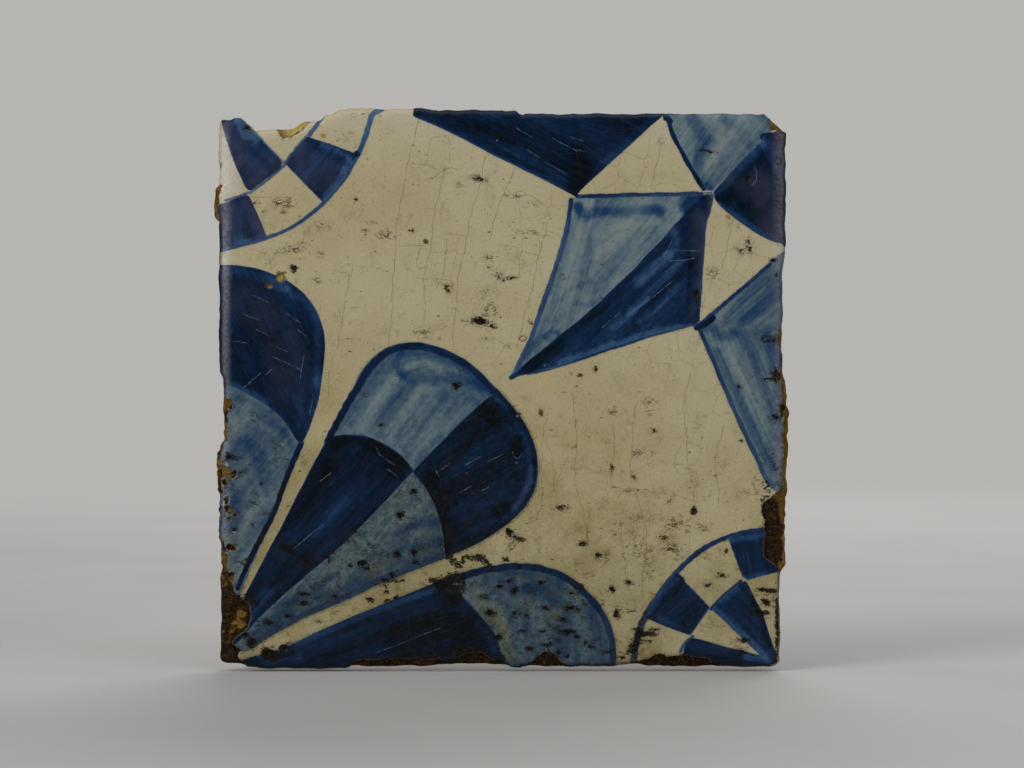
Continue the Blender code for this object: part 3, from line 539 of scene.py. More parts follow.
    (520, 178, 0.1, 0.1, 0, 0, "s"), (497, 140, 1.6, 1.4, 0, 0.0, "w"), (519.5, 357, 1.4, 1.2, 0, 0, "w"), (544.5, 365.5, 1.4, 1.2, 0, 0, "w"), (466.5, 472.8, 1.5, 1.2, -20, 0, "w"), (526.5, 502, 1.2, 1.2, 0, 0, "w"), (516, 462.5, 2.0, 1.2, 20, 0, "w"),
    (517.5, 415.5, 2.2, 1.8, 0, 0.1, "w"), (234.5, 531.5, 2.4, 2.2, 0, 0.1, "w"), (224, 505, 1.8, 4.0, 0, 0.0, "w"), (741, 443, 1.8, 1.4, 0, 0, "w"), (737.5, 389.5, 0.1, 0.1, 0, 0, "s"), (227, 465, 2.0, 3.0, 0, 0, "w"), 
    (278.5, 165, 0.1, 0.1, 0, 0, "s"), (452, 655, 3.2, 0.8, 15, 0, "w"), (459, 652.5, 2.6, 0.7, 20, 0, "w"), (444, 657.5, 2.4, 0.6, 10, 0, "w"),
    (392, 660.5, 3.6, 0.6, 5, 0, "w"), (378, 659, 3.0, 0.6, -8, 0, "w"), (407, 662, 2.2, 0.6, 0, 0, "w"),
)
# Places where dirt sits in curling hair cracks: x, y, half width, half height, strength.
SCRIBBLES = (
    (283, 203, 12, 6, 1.0), (256, 204, 4, 4, 0.9), (264, 212, 5, 2, 0.9), (292, 249, 10, 5, 0.95), (278, 254, 5, 3, 0.8), (320, 254.5, 4, 3, 0.9),
    (386, 234.5, 9, 6, 0.9), (365, 233, 4, 4, 0.9), (346, 136, 9, 5, 0.6), (372, 222, 8, 3, 0.6), (322, 225, 9, 6, 0.6), (283, 214, 4, 3, 0.9),
    (317, 281, 5, 4, 0.8), (346, 275, 5, 3, 0.6), (479, 178, 10, 4, 0.9), (519, 196, 6, 4, 1.0), (508, 196, 5, 2, 0.8), (460, 183, 7, 3, 0.5),
    (459, 191, 3, 5, 0.4), (534, 204, 8, 3, 0.5), (515, 232, 4, 2, 0.8), (533, 232, 6, 2, 0.7), (412, 230, 4, 3, 0.8), (489, 257, 5, 4, 1.0), (490, 268, 2, 6, 0.8),
    (499, 275, 5, 4, 0.8), (511, 278, 6, 2, 0.9), (448, 288, 5, 6, 0.9), (437, 279, 5, 3, 0.7), (486, 293, 9, 8, 0.6), (491, 311, 7, 7, 1.0),
    (481, 321, 12, 6, 1.0), (466, 322, 7, 3, 0.8), (491, 328, 7, 4, 0.9), (424, 331, 12, 4, 0.7), (430, 339, 12, 2, 0.6), (485, 340, 10, 2, 0.7), (512, 346, 6, 3, 0.7),
    (570, 375, 5, 4, 0.6), (541, 412, 5, 6, 0.6), (613, 412, 8, 4, 0.8), (650, 402, 7, 5, 0.9), (648, 413, 5, 3, 0.6), (653, 431, 5, 3, 0.9), (641, 453, 11, 5, 0.8),
    (606, 442, 5, 2, 0.7), (571, 446, 7, 3, 0.6), (650, 466, 5, 2, 0.7), (634, 477, 4, 5, 0.6), (630, 491, 14, 2, 0.7), (612, 487, 3, 2, 0.7),
    (561, 508, 8, 4, 0.9), (511, 534, 8, 8, 0.9), (521, 540, 7, 5, 0.9), (511, 547, 6, 5, 0.8), (583, 543, 5, 3, 0.8), (598, 555, 6, 5, 0.8), (606, 553, 4, 4, 0.9),
    (618, 524, 6, 3, 0.7), (635, 518, 8, 3, 0.7), (665, 537, 8, 5, 1.0), (669, 548, 9, 7, 0.9), (672, 524, 10, 6, 0.9), (680, 519, 7, 4, 0.8), (703, 528, 7, 4, 0.8),
    (637, 548, 6, 12, 0.6), (649, 556, 6, 12, 0.6), (627, 556, 5, 5, 0.6), (655, 520, 7, 3, 0.6), (605, 560, 6, 4, 0.7), (612, 590, 6, 6, 0.6), (618, 612, 6, 7, 0.7),
    (629, 583, 6, 4, 0.7), (604, 603, 5, 4, 0.7), (590, 575, 10, 4, 0.5), (652, 596, 6, 3, 0.5), (648, 578, 5, 14, 0.5), (721, 576, 6, 3, 0.7), (707, 584, 5, 3, 0.7),
    (723, 549, 5, 3, 0.8), (768, 592, 8, 5, 0.8), (765, 603, 7, 5, 0.8), (757, 614, 8, 5, 0.7), (744, 642, 7, 5, 0.8), (745, 249, 9, 7, 0.8), (749, 240, 5, 4, 0.8),
    (713, 273, 7, 7, 0.7), (735, 225, 8, 5, 0.5), (727, 217, 4, 4, 0.4), (645, 197, 4, 4, 0.6), (661, 141, 4, 4, 0.6), (629, 195, 6, 3, 0.5), (545, 110, 8, 3, 0.5),
    (441, 545, 8, 6, 0.6), (400, 470, 8, 5, 0.5), (456, 385, 7, 5, 0.9), (461, 373, 8, 5, 0.9), (490, 587, 9, 5, 0.7), (515, 590, 6, 5, 0.8), (488, 597, 12, 4, 0.8),
    (570, 608, 8, 4, 0.8), (568, 632, 9, 4, 0.8), (500, 638, 14, 6, 0.8), (490, 613, 7, 5, 0.8), (530, 606, 10, 4, 0.6), (590, 642, 9, 4, 0.7), (533, 582, 8, 3, 0.6),
    (455, 462, 10, 5, 0.9), (455, 474, 6, 4, 0.8), (476, 491, 11, 6, 0.8), (504, 483, 5, 5, 0.8), (470, 523, 7, 5, 0.8), (452, 535, 8, 12, 0.7), (434, 496, 5, 8, 0.7),
    (254, 417, 5, 5, 0.9), (279, 443, 7, 6, 0.9), (274, 457, 6, 7, 0.8), (253, 503, 6, 5, 1.0), (251, 525, 5, 4, 0.8), (240, 473, 9, 5, 1.0), (228, 487, 6, 4, 0.8), (234, 532, 5, 5, 0.6),
    (349, 536, 14, 9, 0.9), (366, 548, 9, 7, 0.9), (330, 552, 9, 6, 0.8), (306, 562, 8, 6, 0.9), (284, 549, 9, 7, 1.0), (322, 585, 9, 5, 0.7), (250, 141, 5, 3, 0.9), (250, 238, 3, 5, 0.8), (226, 235, 3, 6, 0.6),
    (395, 585, 10, 8, 0.5), (372, 598, 8, 4, 0.6), (300, 600, 9, 5, 0.6), (317, 622, 7, 3, 0.6), (335, 597, 6, 3, 0.6), (289, 615, 6, 3, 0.6), (262, 540, 4, 6, 0.6),
    (282, 492, 4, 6, 0.6), (270, 515, 4, 6, 0.6), (303, 462, 4, 6, 0.5), (341, 640, 10, 5, 0.4), (774, 376, 6, 7, 0.9), (770, 340, 10, 6, 1.0), (775, 417, 6, 5, 0.9),
)
# Scratches down to the white glaze: two ends each, and how faint the scratch is.
SCRATCHES = (
    ((286, 313), (293, 318)), ((293, 318), (301, 323)), ((256, 329), (270, 336.5)), ((297, 329), (306, 336.5)), ((273, 357), (291, 364.5)), ((304, 355), (300, 380)),
    ((291, 364.5), (300, 369.5)), ((243, 388), (261, 372.5)), ((266, 375), (272, 369)), ((243, 314), (262, 321)), ((252, 295), (270, 303)), ((276, 347), (288, 352)), ((234, 341), (246, 343)),
    ((516, 128), (533, 138)), ((551, 137), (567, 146)), ((567, 146), (577, 151.5)), ((571, 137), (583, 141)), ((545, 162), (567, 174)), ((570, 148), (584, 152)), ((527, 150), (540, 158)),
    ((670, 261), (684, 260.5)), ((684, 260.5), (695, 258)), ((678, 250.5), (700, 250.5)), ((672, 240), (664, 257)), ((665, 272), (680, 262)), ((652, 298), (672, 281)), ((602, 328), (620, 312)), ((626, 316), (650, 299)),
    ((293, 549), (308, 537)), ((308, 537), (323, 525)), ((376, 447), (380, 455)), ((380, 455), (394, 465)), ((387.5, 469), (398.5, 477.5)), ((319, 482), (331, 473)),
    ((441, 470), (450, 463)), ((465, 465), (481, 456)), ((487, 462), (503, 454.5)), ((460, 493), (471, 486)), ((482, 491), (489, 487)), ((374, 653), (398, 645), 0.1), ((398, 645), (440, 628), 0.1), ((432, 603), (464, 634), 0.42),
    ((711.5, 191), (714, 198)), ((572, 196.5), (576.5, 199)), ((576.5, 199), (582, 193.5)), ((694.5, 325.5), (697.5, 321.5)), ((761.5, 141), (765.5, 135.5)), ((704, 190), (712, 190.5)), ((712, 190.5), (717, 187.5)),
    ((480, 402.5), (488, 396.2)), ((488, 396.2), (493, 395.3)), ((493, 395.3), (497, 399.5)), ((296.5, 441.8), (302.5, 442.8)), ((245.5, 190), (250, 193.5)), ((250, 193.5), (254.5, 190.5)), ((313, 398), (310, 413)), ((436, 471), (441.5, 481)),
    ((443, 543.5), (444.5, 557)), ((346, 155), (351, 163)), ((512.5, 452), (514.5, 457.5)), ((514.5, 457.5), (518.5, 458.5)), ((518.5, 458.5), (522, 453)), ((754, 166), (757, 172)), ((757, 172), (756.5, 180)), ((756.5, 180), (752, 185.5)),
)


# The longest cracks of the crazing, each a line of points.
CRACKS = (
    [(419, 118), (411, 150), (403, 190), (398, 214), (395, 250), (393, 290), (390, 330), (389, 352)],
    [(486, 156), (480, 184), (471, 218), (464, 250), (458, 285), (455, 318), (453, 348)],
    [(515, 166), (505, 190), (497, 214), (489, 240)], [(547, 222), (538, 262), (529, 300), (521, 334)],
    [(638, 401), (633, 424), (632, 447), (632, 482), (640, 509), (647, 532), (645, 548), (643.5, 562), (642.6, 589), (644, 603), (639.5, 612)],
    [(623.8, 556), (628, 585), (632.6, 598), (635.7, 612), (641, 618)], [(571, 392), (577, 430), (575, 470), (580, 505), (590, 540)],
    [(690, 372), (684, 410), (688, 455), (694, 500)], [(352, 262), (348, 290), (341, 325), (338, 350)],
    [(446, 166), (436, 205), (431, 240), (425, 275), (424, 322)], [(548, 412), (541, 452), (543, 492), (536, 520)],
    [(398.4, 245.6), (424, 245.6)], [(418.6, 247), (416.8, 267.6), (426, 267)], [(448, 234.6), (470, 235.5)], [(446, 238), (444.3, 277)],
    [(497.6, 244.7), (516, 245.6)], [(521.5, 252), (541.8, 255.7)], [(523.4, 233.6), (549, 235.5)], [(522.5, 232.7), (521.5, 253), (518.8, 279)],
    [(413, 164.7), (435, 164.7)], [(450, 168), (424, 181)], [(612.8, 423), (614, 445), (611.6, 467.5), (612.8, 487)], [(545.4, 438), (550.3, 455), (555, 477), (554, 492)],
    [(621.4, 507), (622.6, 556)], [(589.5, 509), (586, 558)], [(611.6, 487), (655.7, 491.5)], [(560, 445.4), (577, 447.8)],
    [(723, 425), (716, 462), (720, 505)], [(660, 146), (655, 170), (652, 190)], [(735, 215), (727, 245), (722, 268)],
)


def crack_distance(gx, gy):
    found = np.full(gx.shape, 8.0)
    # a crack is never quite straight
    gx, gy = gx + 0.8 * np.sin(gy * 0.11 + gx * 0.02) + 0.45 * np.sin(gy * 0.34 + 1.0), gy + 0.7 * np.sin(gx * 0.17) + 0.4 * np.sin(gx * 0.46)
    for line in CRACKS:
        found = np.minimum(found, to_line(gx, gy, bend(line, 3), 8.0))
    return found


def smears(gx, gy, table):
    total = np.zeros_like(gx)
    for points, width, strength in table:
        far = to_line(gx, gy, bend(points, 4), width)
        total += strength * (1.0 - rise(0.18, 0.62, far / width))
    return total


def nearest(gx, gy, shapes):
    found = np.full(gx.shape, 16.0)
    for one in shapes:
        found = np.minimum(found, to_shape(gx, gy, one))
    return found


def stroke_line(gx, gy, lines):
    found = np.full(gx.shape, 16.0)
    for line, width in lines:
        uneven = width * (0.5 + 0.05 * np.sin(gx * 0.21 + gy * 0.17) + 0.04 * np.sin(gx * 0.53 - gy * 0.37))
        found = np.minimum(found, to_line(gx, gy, line) - uneven)
    return found


def scratch_distance(gx, gy):
    found = np.full(gx.shape, 8.0)
    for ends in SCRATCHES:
        found = np.minimum(found, to_line(gx, gy, ends[:2], 8.0) + (ends[2] if len(ends) > 2 else 0.0))
    return found


def pit_distance(gx, gy, kinds, grow=0.0):
    """Distance outside the nearest pit of these kinds, in grid units, negative inside."""
    found = np.full(gx.shape, 16.0)
    for x, y, rx, ry, tilt, depth, kind in PITS:
        if kind not in kinds or rx < 0.2:
            continue
        near = (np.abs(gx - x) < rx + ry + 8) & (np.abs(gy - y) < rx + ry + 8)
        if not near.any():
            continue
        a = math.radians(-tilt)
        dx, dy = gx[near] - x, gy[near] - y
        u, v = dx * math.cos(a) - dy * math.sin(a), dx * math.sin(a) + dy * math.cos(a)
        k = np.hypot(u / (rx + grow), v / (ry + grow))
        found[near] = np.minimum(found[near], (k - 1.0) * min(rx, ry))
    return found


def pit_relief(gx, gy):
    """How far the pits sink below the face, in mm."""
    total = np.zeros_like(gx)
    for x, y, rx, ry, tilt, depth, kind in PITS:
        if depth <= 0.0 or rx < 0.2:
            continue
        near = (np.abs(gx - x) < 2.2 * (rx + ry)) & (np.abs(gy - y) < 2.2 * (rx + ry))
        if not near.any():
            continue
        a = math.radians(-tilt)
        dx, dy = gx[near] - x, gy[near] - y
        u, v = dx * math.cos(a) - dy * math.sin(a), dx * math.sin(a) + dy * math.cos(a)
        k = np.hypot(u / rx, v / ry)
        if kind == "r":
            sunk = depth * np.exp(-((k - 0.85) / 0.3) ** 2)
        else:
            sunk = depth * (1.0 - rise(0.35, 1.1, k)) - 0.05 * np.exp(-((k - 1.35) / 0.25) ** 2)
        total[near] += sunk
    return total


# ---------------------------------------------------------------------------
# Meshing: a square sheet of cells, finer where asked, mapped onto the outline
# ---------------------------------------------------------------------------
def sheet(cells, wanted, border=None):
    """Vertices (u, v from -1 to 1), faces, and the border loop, anticlockwise as seen from the face.

    wanted is a fineness of 0, 1 or 2 for each smallest cell. border fixes the
    fineness of the outermost cells.
    """
    m = cells * 4
    if border is not None:
        edge = np.zeros((m, m), bool)
        edge[:4] = edge[-4:] = edge[:, :4] = edge[:, -4:] = True
        wanted = np.where(edge, border, wanted)
    halves = wanted.reshape(cells * 2, 2, cells * 2, 2).max(axis=(1, 3)) >= 2
    grown = halves.copy()
    grown[1:] |= halves[:-1]
    grown[:-1] |= halves[1:]
    grown[:, 1:] |= halves[:, :-1]
    grown[:, :-1] |= halves[:, 1:]
    split = (wanted.reshape(cells, 4, cells, 4).max(axis=(1, 3)) >= 1) | grown.reshape(cells, 2, cells, 2).any(axis=(1, 3))
    halves &= np.kron(split, np.ones((2, 2), bool))
    whole = np.argwhere(~split) * 4
    half = np.argwhere(np.kron(split, np.ones((2, 2), bool)) & ~halves) * 2
    quarter = np.argwhere(np.kron(halves, np.ones((2, 2), bool)))
    used = np.zeros((m + 1, m + 1), bool)
    for leaves, size in ((whole, 4), (half, 2), (quarter, 1)):
        for a in (0, size):
            for b in (0, size):
                used[leaves[:, 0] + a, leaves[:, 1] + b] = True
    number = np.where(used, np.cumsum(used).reshape(used.shape) - 1, -1)
    faces = []
    for leaves, size in ((whole, 4), (half, 2), (quarter, 1)):
        h = size // 2
        i, j = leaves[:, 0], leaves[:, 1]
        corners = [number[i, j], number[i + size, j], number[i + size, j + size], number[i, j + size]]
        if h:
            middles = [number[i + h, j], number[i + size, j + h], number[i + h, j + size], number[i, j + h]]
        else:
            middles = [np.full(len(i), -1)] * 4
        code = sum((middles[k] >= 0).astype(int) << k for k in range(4))
        for pattern in range(16):
            chosen = code == pattern
            if not chosen.any():
                continue
            columns = []
            for k in range(4):
                columns.append(corners[k][chosen])
                if pattern >> k & 1:
                    columns.append(middles[k][chosen])
            faces += np.stack(columns, axis=1).tolist()
    at = np.argwhere(used)
    points = at / (m / 2.0) - 1.0
    loop = (
        [number[i, 0] for i in range(m) if used[i, 0]] + [number[m, j] for j in range(m) if used[m, j]]
        + [number[i, m] for i in range(m, 0, -1) if used[i, m]] + [number[0, j] for j in range(m, 0, -1) if used[0, j]]
    )
    return points[:, 0], points[:, 1], faces, [int(n) for n in loop]


HALF_W, HALF_H = 66.2, 64.6


def onto_outline(u, v):
    """Lays the square sheet on the tile, its border on the clay's outline."""
    x, z = u * HALF_W, v * HALF_H
    out = np.maximum(np.abs(u), np.abs(v))
    near = out > 0.8
    ux, vz = u[near] / out[near], v[near] / out[near]
    low, high = np.full(ux.shape, 0.85), np.full(ux.shape, 1.12)
    for _ in range(22):
        middle = (low + high) / 2.0
        past = outside_clay(ux * HALF_W * middle, vz * HALF_H * middle) > 0
        high = np.where(past, middle, high)
        low = np.where(past, low, middle)
    share = rise(0.8, 1.0, out[near])
    grow = 1.0 + (low - 1.0) * share
    x[near] *= grow
    z[near] *= grow
    return x, z


def centres(cells):
    m = cells * 4
    at = (np.arange(m) + 0.5) / (m / 2.0) - 1.0
    u, v = np.meshgrid(at, at, indexing="ij")
    return u, v


def paint(gx, gy):
    dark = np.minimum(nearest(gx, gy, DARK), stroke_line(gx, gy, DEEP_LINES))
    wash = nearest(gx, gy, WASH)
    line = stroke_line(gx, gy, MID_LINES)
    return dark, wash, line


def clay_fall(x, z):
    """The clay's surface under the glaze, and bare where the glaze is gone."""
    to_side = np.maximum(-outside_clay(x, z), 0.0)
    rim = np.clip(1.0 - to_side / RIM_WIDTH, 0.0, 1.0)
    under = GLAZE_STEP + RIM_DROP * (1.0 - np.sqrt(1.0 - rim * rim))
    worn = np.clip(1.0 - to_side / WORN_WIDTH, 0.0, 1.0)
    crumbs = 0.20 * noise(x, z, 2.2, 21, 3) + 0.10 * noise(x, z, 0.7, 22, 2)
    bare = GLAZE_STEP + WORN_DROP * worn * worn + crumbs
    gx, gy = grid_x(x), grid_y(z)
    deep = 0.7 * np.exp(-(((gx - 296) / 16) ** 2 + ((gy - 124) / 7) ** 2))
    deep = deep + 0.35 * np.exp(-(((gx - 235) / 12) ** 2 + ((gy - 620) / 30) ** 2))
    deep = deep + 0.35 * np.exp(-(((gx - 775) / 9) ** 2 + ((gy - 525) / 22) ** 2))
    lost = rise(-0.3, 0.25, outside_glaze(x, z))
    return under * (1.0 - lost) + np.maximum(bare + deep, GLAZE_STEP * 0.7) * lost


def glaze_fall(x, z):
    """The glazed surface: rolled rim, waviness, and pits."""
    to_side = np.maximum(-outside_clay(x, z), 0.0)
    rim = np.clip(1.0 - to_side / RIM_WIDTH, 0.0, 1.0)
    roll = RIM_DROP * (1.0 - np.sqrt(1.0 - rim * rim))
    broad = np.clip(1.0 - (x - LEFT) / 4.4, 0.0, 1.0)
    roll = roll + 0.42 * broad * broad
    waves = 0.10 * noise(x, z, 34.0, 31, 2) + 0.022 * noise(x, z, 9.0, 32, 2) + 0.006 * noise(x, z, 2.4, 33)
    bead = 0.07 * np.exp(-((to_side - 3.1) / 1.3) ** 2)
    return roll + waves * rise(0.0, 3.0, to_side) - bead + pit_relief(grid_x(x), grid_y(z))


def make_mesh(name, points, faces, fields=None, vectors=None):
    data = bpy.data.meshes.new(name)
    data.from_pydata((points * MM).tolist(), [], faces)
    for key, values in (fields or {}).items():
        layer = data.attributes.new(key, "FLOAT", "POINT")
        layer.data.foreach_set("value", np.ascontiguousarray(values, np.float32))
    for key, values in (vectors or {}).items():
        layer = data.attributes.new(key, "FLOAT_VECTOR", "POINT")
        layer.data.foreach_set("vector", np.ascontiguousarray(values, np.float32).ravel())
    data.shade_smooth()
    piece = bpy.data.objects.new(name, data)
    bpy.context.scene.collection.objects.link(piece)
    return piece


def map_uv(piece, corner_uv):
    layer = piece.data.uv_layers.new(name="OFBake")
    layer.data.foreach_set("uv", np.ascontiguousarray(corner_uv, np.float32).ravel())


def corner_vertices(data):
    found = np.empty(len(data.loops), np.int32)
    data.loops.foreach_get("vertex_index", found)
    return found


# --- the glaze ---------------------------------------------------------------
GLAZE_CELLS = 158
u, v = centres(GLAZE_CELLS)
x, z = u * HALF_W, v * HALF_H
gx, gy = grid_x(x), grid_y(z)
dark, wash, line = paint(gx, gy)
edge = np.minimum(np.minimum(np.abs(dark), np.abs(wash)), np.abs(line))
level = np.where(edge * U < 0.42, 1, 0)
hole = np.abs(pit_distance(gx, gy, "hrobyw"))
level = np.where(hole * U < 0.5, np.maximum(level, 1), level)
sharp = np.full(gx.shape, False)
for px, py, rx, ry, tilt, depth, kind in PITS:
    if kind in "hr" and depth >= 0.25 and rx * ry > 6.0:
        sharp |= ((gx - px) / (rx + 1.6)) ** 2 + ((gy - py) / (ry + 1.6)) ** 2 < 1.0
lost = outside_glaze(x, z)
level = np.where(np.abs(lost) < 0.5, 2, level)
fine = np.minimum(scratch_distance(gx, gy), crack_distance(gx, gy))
level = np.where(sharp | (fine * U < 0.34), 2, level)
to_side = -outside_clay(x, z)
level = np.where(to_side < 2.6, np.maximum(level, 1), level)
level = np.where((lost > 0.9), 0, level)

u, v, faces, loop = sheet(GLAZE_CELLS, level)
x, z = onto_outline(u, v)
lost = outside_glaze(x, z)
gone = rise(-0.10, 0.14, lost)
top = glaze_fall(x, z)
under = clay_fall(x, z)
# The broken edge stands up sharply from the clay.
y = -THICKNESS + np.where(lost < 0.14, top * (1 - gone) + (under + 0.3) * gone, under + 0.3)
size = np.maximum(np.abs(x) / HALF_W, np.abs(z) / HALF_H)
border = np.zeros(len(x), bool)
border[loop] = True
# At the border the glaze hangs a little over the clay where it is whole, and hides inside it where it is lost.
push = np.where(border, 0.10 + 0.08 * noise(x, z, 2.6, 41, 2), 0.0)
side_gone = rise(-1.6, -0.2, lost)
push = push * (1 - side_gone) - 0.55 * side_gone * rise(0.985, 1.0, np.maximum(np.abs(u), np.abs(v)))
x, z = x * (1 + push / 65.0), z * (1 + push / 65.0)
front = np.stack([x, y, z], axis=1)

skirt_x, skirt_z, skirt_gone = x[loop], z[loop], side_gone[loop]
hang = 0.75 + 0.35 * noise(skirt_x, skirt_z, 3.4, 42, 2) + 0.3 * noise(skirt_x, skirt_z, 11.0, 43)
drop1 = y[loop] + np.maximum(hang, 0.25) * (1 - skirt_gone) + 0.3 * skirt_gone
row1 = np.stack([skirt_x * (1 + 0.04 / 65), drop1, skirt_z * (1 + 0.04 / 65)], axis=1)
drop2 = drop1 + 0.16
row2 = np.stack([skirt_x * (1 - 0.42 / 65), drop2, skirt_z * (1 - 0.42 / 65)], axis=1)
flat_y = np.full(len(loop), max(-THICKNESS + 3.4, drop2.max() + 0.2))
row3 = np.stack([skirt_x * (1 - 1.2 / 65), flat_y, skirt_z * (1 - 1.2 / 65)], axis=1)
n, count = len(front), len(loop)
points = np.vstack([front, row1, row2, row3])
rows = [np.array(loop), n + np.arange(count), n + count + np.arange(count), n + 2 * count + np.arange(count)]
front_faces = len(faces)
for upper, lower in zip(rows, rows[1:]):
    nxt_u, nxt_l = np.roll(upper, -1), np.roll(lower, -1)
    faces += np.stack([upper, lower, nxt_l, nxt_u], axis=1).tolist()
faces.append(rows[-1][::-1].tolist())

all_x, all_z = points[:, 0], points[:, 2]
gx, gy = grid_x(all_x), grid_y(all_z)
# The paint creeps a little with the running of the glaze, as a hand-drawn line does.
gx = gx + 0.45 * noise(all_x, all_z, 5.0, 51, 2)
gy = gy + 0.45 * noise(all_x, all_z, 5.0, 52, 2)
dark, wash, line = paint(gx, gy)
wash_tone = np.full(gx.shape, 0.42)
# A film of dirt, with painted shade darkening the cream toward the lower left and the lower petals.
dirt_and_shade_film = 0.17 * rise(400, 600, gy) * rise(620, 260, gx) + 0.12 * rise(525, 600, gy) * rise(330, 470, gx)
for one, tone, darken_by in ((KITE, 0.33, 0.0), (CORNER_LIGHT, 0.39, 0.02), (KITE_R, 0.49, 0.05), (PETAL_L_LIGHT, 0.45, 0.18), (PETAL_C, 0.51, 0.06), (PETAL_B, 0.53, 0.36)):
    inside = to_shape(gx, gy, one, 3.0) < 2.0
    wash_tone[inside] = tone
    dirt_and_shade_film[inside] = darken_by
inside = rise(-6.0, 6.0, gy - 472 - (413 - gx) * 0.977) * (to_shape(gx, gy, PETAL_C, 3.0) < 2.0)
wash_tone = wash_tone + 0.03 * inside
dirt_and_shade_film = dirt_and_shade_film + 0.36 * inside
low_arc = rise(592, 616, gy) * rise(628, 634, gx) * rise(668, 656, gx)
dirt_and_shade_film = dirt_and_shade_film + low_arc * (0.09 + 0.60 * rise(0.6, -0.6, line))
foot_edge = rise(560, 600, gy) * rise(442, 420, gx) * rise(0.6, -0.6, line)
dirt_and_shade_film = np.maximum(dirt_and_shade_film, 0.52 * foot_edge)
low_rim = rise(575, 610, gy) * rise(592, 606, gx) * rise(628, 621, gx) * rise(0.6, -0.6, line)
dirt_and_shade_film = np.maximum(dirt_and_shade_film, 0.36 * low_rim)
peppered = np.maximum(inside, 0.85 * (to_shape(gx, gy, PETAL_B, 3.0) < 0.5) * (to_shape(gx, gy, PETAL_B_DARK, 3.0) > 0.0))
peppered = np.maximum(peppered, 0.5 * rise(570, 620, gy) * (to_shape(gx, gy, PETAL_B_DARK, 3.0) < 0.0))
wash_tone = wash_tone + smears(gx, gy, WASH_SMEARS)
line_tone = 0.34 + 0.34 * rise(160, 112, gy) * rise(420, 350, gx) - 0.12 * rise(420, 520, gy) + 0.2 * noise(all_x, all_z, 4.0, 57, 2)
dark_tone = np.full(gx.shape, 0.32)
for one, tone in ((KITE_DARK, 0.48), (WEDGE, 0.41), (SQUARE_B, 0.49), (SQUARE_D, 0.50), (CORNER_DARK, 0.30), (PETAL_L_DARK, 0.38), (PETAL_B_DARK, 0.25), (WEDGE2, 0.46), (SQUARE_UR, 0.40), (SQUARE_L2, 0.36), (WEDGE3, 0.34)):
    dark_tone[to_shape(gx, gy, one, 3.0) < 2.0] = tone
dark_tone[to_shape(gx, gy, PETAL_C_OUTER, 3.0) < 2.0] = 0.25
dark_tone = dark_tone + smears(gx, gy, DARK_SMEARS) + (0.15 * rise(350, 380, gx) - 0.06) * rise(0.8, -0.8, stroke_line(gx, gy, DEEP_LINES))
line_tone = line_tone - 0.34 * rise(690, 650, gy) * rise(560, 590, gx) * rise(625, 618, gx) + 0.10 * rise(560, 600, gy) * rise(452, 430, gx) + 0.22 * rise(575, 610, gy) * rise(592, 606, gx) * rise(628, 621, gx) - 0.22 * rise(480, 530, gx) * rise(420, 380, gy)
line_tone = line_tone - 0.30 * rise(660, 700, gx) * rise(640, 560, gy) * rise(500, 530, gy)
line_tone = line_tone + 0.20 * rise(592, 578, gx) * rise(505, 525, gx) * rise(385, 365, gy) * rise(196, 208, gy)
small = np.minimum(to_line(gx, gy, bend([(250.5, 192.5), (266, 181), (284.5, 164.6), (294, 150.5), (306.6, 136.2)]), 6.0), to_line(gx, gy, bend([(253, 130), (268, 147), (284, 162.4)]), 6.0))
line_tone = line_tone + 0.32 * rise(4.0, 2.0, small) + 0.36 * rise(612, 630, gy) * rise(655, 645, gx) * rise(622, 630, gx) + 0.16 * rise(632, 638, gy) * rise(676, 682, gx) * rise(700, 692, gx)
sway = np.ones(gx.shape)
for one, calm in ((PETAL_B, 0.40), (PETAL_C, 0.62), (PETAL_L_LIGHT, 0.75), (KITE, 0.9), (KITE_R, 0.9)):
    sway[to_shape(gx, gy, one, 3.0) < 2.0] = calm
bloom_and_sheen = np.clip(smears(gx, gy, BLOOM_AND_SHEEN_SMEARS), 0.0, 1.0)
scribble = np.zeros_like(gx)
for px, py, rx, ry, strength in SCRIBBLES:
    near = (np.abs(gx - px) < 2.0 * rx) & (np.abs(gy - py) < 2.0 * ry)
    far = ((gx[near] - px) / rx) ** 2 + ((gy[near] - py) / ry) ** 2
    scribble[near] = np.maximum(scribble[near], strength * np.exp(-far ** 2 * 0.7))
grime = np.clip(smears(gx, gy, GRIME_SMEARS), 0.0, 1.2)

# Where the brush went: a direction for each field, as coordinates along and across the stroke.
along = np.zeros_like(gx)
across = np.zeros_like(gx)
FIELDS = (
    (WEDGE, -52), (SQUARE_B, -48), (SQUARE_D, 88), (PETAL_L_DARK, 62), (PETAL_L_LIGHT, -48), (PETAL_C, -52), (PETAL_C_INNER, -48),
    (PETAL_C_OUTER, -32), (PETAL_B, 80), (PETAL_B_DARK, -20), (TOP_TRIANGLE, 28), (KITE, -50), (KITE_DARK, -42),
    (CORNER_LIGHT, -52), (CORNER_DARK, 62), (KITE_R, 66), (SQUARE_UR, 78), (SQUARE_L2, -42), (WEDGE2, 52), (WEDGE3, 12),
)
for one, turn in FIELDS:
    inside = to_shape(gx, gy, one, 2.0) < 0.8
    a = math.radians(turn)
    along[inside] = (gx * math.cos(a) + gy * math.sin(a))[inside]
    across[inside] = (-gx * math.sin(a) + gy * math.cos(a))[inside]
